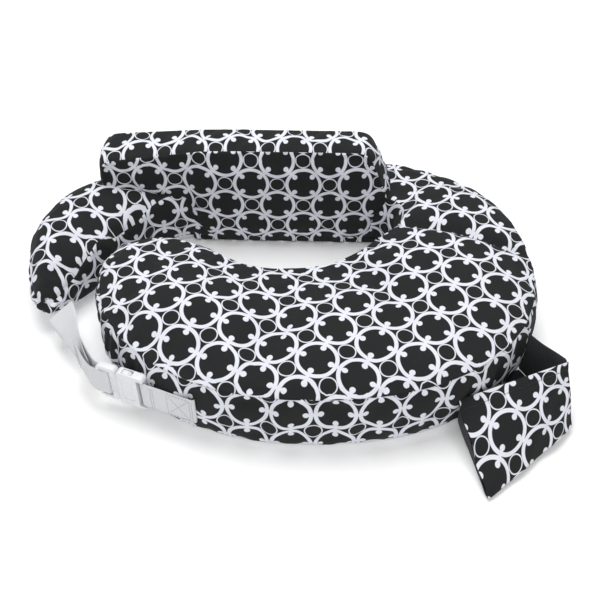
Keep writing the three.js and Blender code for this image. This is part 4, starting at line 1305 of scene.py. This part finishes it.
for i in range(5):
    z = -10 - i * 2.0
    about(work, SLIDER_X, 2.2, PIN_Y - 0.4, PIN_Y + 0.4, z - 0.55, z + 0.55, 0.25, 2)
pull = from_bmesh("zip_pull_tab", work, ZIP_PLACE, METAL)

# ---- Table of piece to body ----
TABLE = (
    (short, "webbing", "front_ring", "short_strap"),
    (strap_stitches, "webbing", "front_ring"),
    (female, "buckle_plastic", "front_ring", "buckle_female"),
    (male_whole, "buckle_plastic", "buckle_male_half", "buckle_male"),
    (loop, "webbing", "buckle_male_half", "strap_end_loop"),
    (loop_stitches, "webbing", "buckle_male_half"),
    (upper_prong, "buckle_plastic", "upper_prong", "buckle_prong_upper"),
    (lower_prong, "buckle_plastic", "lower_prong", "buckle_prong_lower"),
    (front_sheet, "printed_cotton", "front_ring", "pocket_front_panel", "pocket_hem"),
    (left_sheet, "black_lining", "front_ring", "pocket_left_gusset"),
    (right_sheet, "black_lining", "front_ring", "pocket_right_gusset"),
    (floor_sheet, "black_lining", "front_ring", "pocket_floor"),
    (pocket_stitches, "black_lining", "front_ring"),
    (tapes[0], "zip_tape", "rear_arm", "zip_tape_upper"),
    (tapes[1], "zip_tape", "rear_arm", "zip_tape_lower"),
    (chain, "zip_tape", "rear_arm", "zip_chain"),
    (stops[0], "zip_metal", "rear_arm", "zip_stop_left"),
    (stops[1], "zip_metal", "rear_arm", "zip_stop_right"),
    (slider, "zip_metal", "zip_slider_body", "zip_slider"),
    (pull, "zip_metal", "zip_pull_body", "zip_pull"),
)
for made, slot_name, body, *nodes in TABLE:
    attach(made, body)
    if nodes:
        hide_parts(*nodes)
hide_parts("tail_strap")
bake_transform(tail_web)


# ---- Stage ----
# Each light: its name, place in metres, power in watts and size in metres.
LIGHTS = (("key", (-0.15, 0.45, 1.8), 24, 1.2), ("fill", (0.3, -1.5, 1.4), 11, 1.8))
LIT_POINT = (0, 0, 0.05)
CAMERA_FROM_CENTRE = (-19, -760)
CAMERA_HEIGHT = 752
CAMERA_TILT = 46  # degrees up from straight down
CAMERA_LENS = 51.24


def stage():
    floor_mesh = bpy.data.meshes.new("floor")
    size = 6
    corners_at = [(-size, -size, 0), (size, -size, 0), (size, size, 0), (-size, size, 0)]
    floor_mesh.from_pydata(corners_at, [], [(0, 1, 2, 3)])
    floor = linked("floor", floor_mesh)
    material, tree, shader = new_material("floor_paper", 0.9, specular=0.1)
    paper = mix_colour(tree, noise_value(tree, 3), (0.93, 0.93, 0.93), (0.97, 0.97, 0.97))
    tree.links.new(paper, shader.inputs["Base Color"])
    shader.inputs["Emission Color"].default_value = (1, 1, 1, 1)
    shader.inputs["Emission Strength"].default_value = 0.1
    floor_mesh.materials.append(material)
    floor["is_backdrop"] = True
    world = bpy.data.worlds.new("studio")
    bpy.context.scene.world = world
    world.use_nodes = True
    world.node_tree.nodes["Background"].inputs["Color"].default_value = (1, 1, 1, 1)
    world.node_tree.nodes["Background"].inputs["Strength"].default_value = 0.52
    bpy.context.scene.view_settings.view_transform = "Standard"
    for name, place, power, size in LIGHTS:
        light = bpy.data.lights.new(name, "AREA")
        light.energy = power
        light.size = size
        lamp = linked(name, light)
        lamp.location = place
        toward_pillow = Vector(LIT_POINT) - Vector(place)
        lamp.rotation_euler = toward_pillow.to_track_quat("-Z", "Y").to_euler()


def camera():
    data = bpy.data.cameras.new("camera")
    data.sensor_width = 36
    data.lens = CAMERA_LENS
    view = linked("camera", data)
    view.location = Vector((*(CENTRE + CAMERA_FROM_CENTRE), CAMERA_HEIGHT)) * MM
    view.rotation_euler = (math.radians(CAMERA_TILT), 0, 0)
    bpy.context.scene.camera = view


stage()
camera()


def corners(bounds):
    return [[float(x) for x in corner] for corner in bounds]


{"cad": corners(cad_bounds), "visual": corners(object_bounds())}
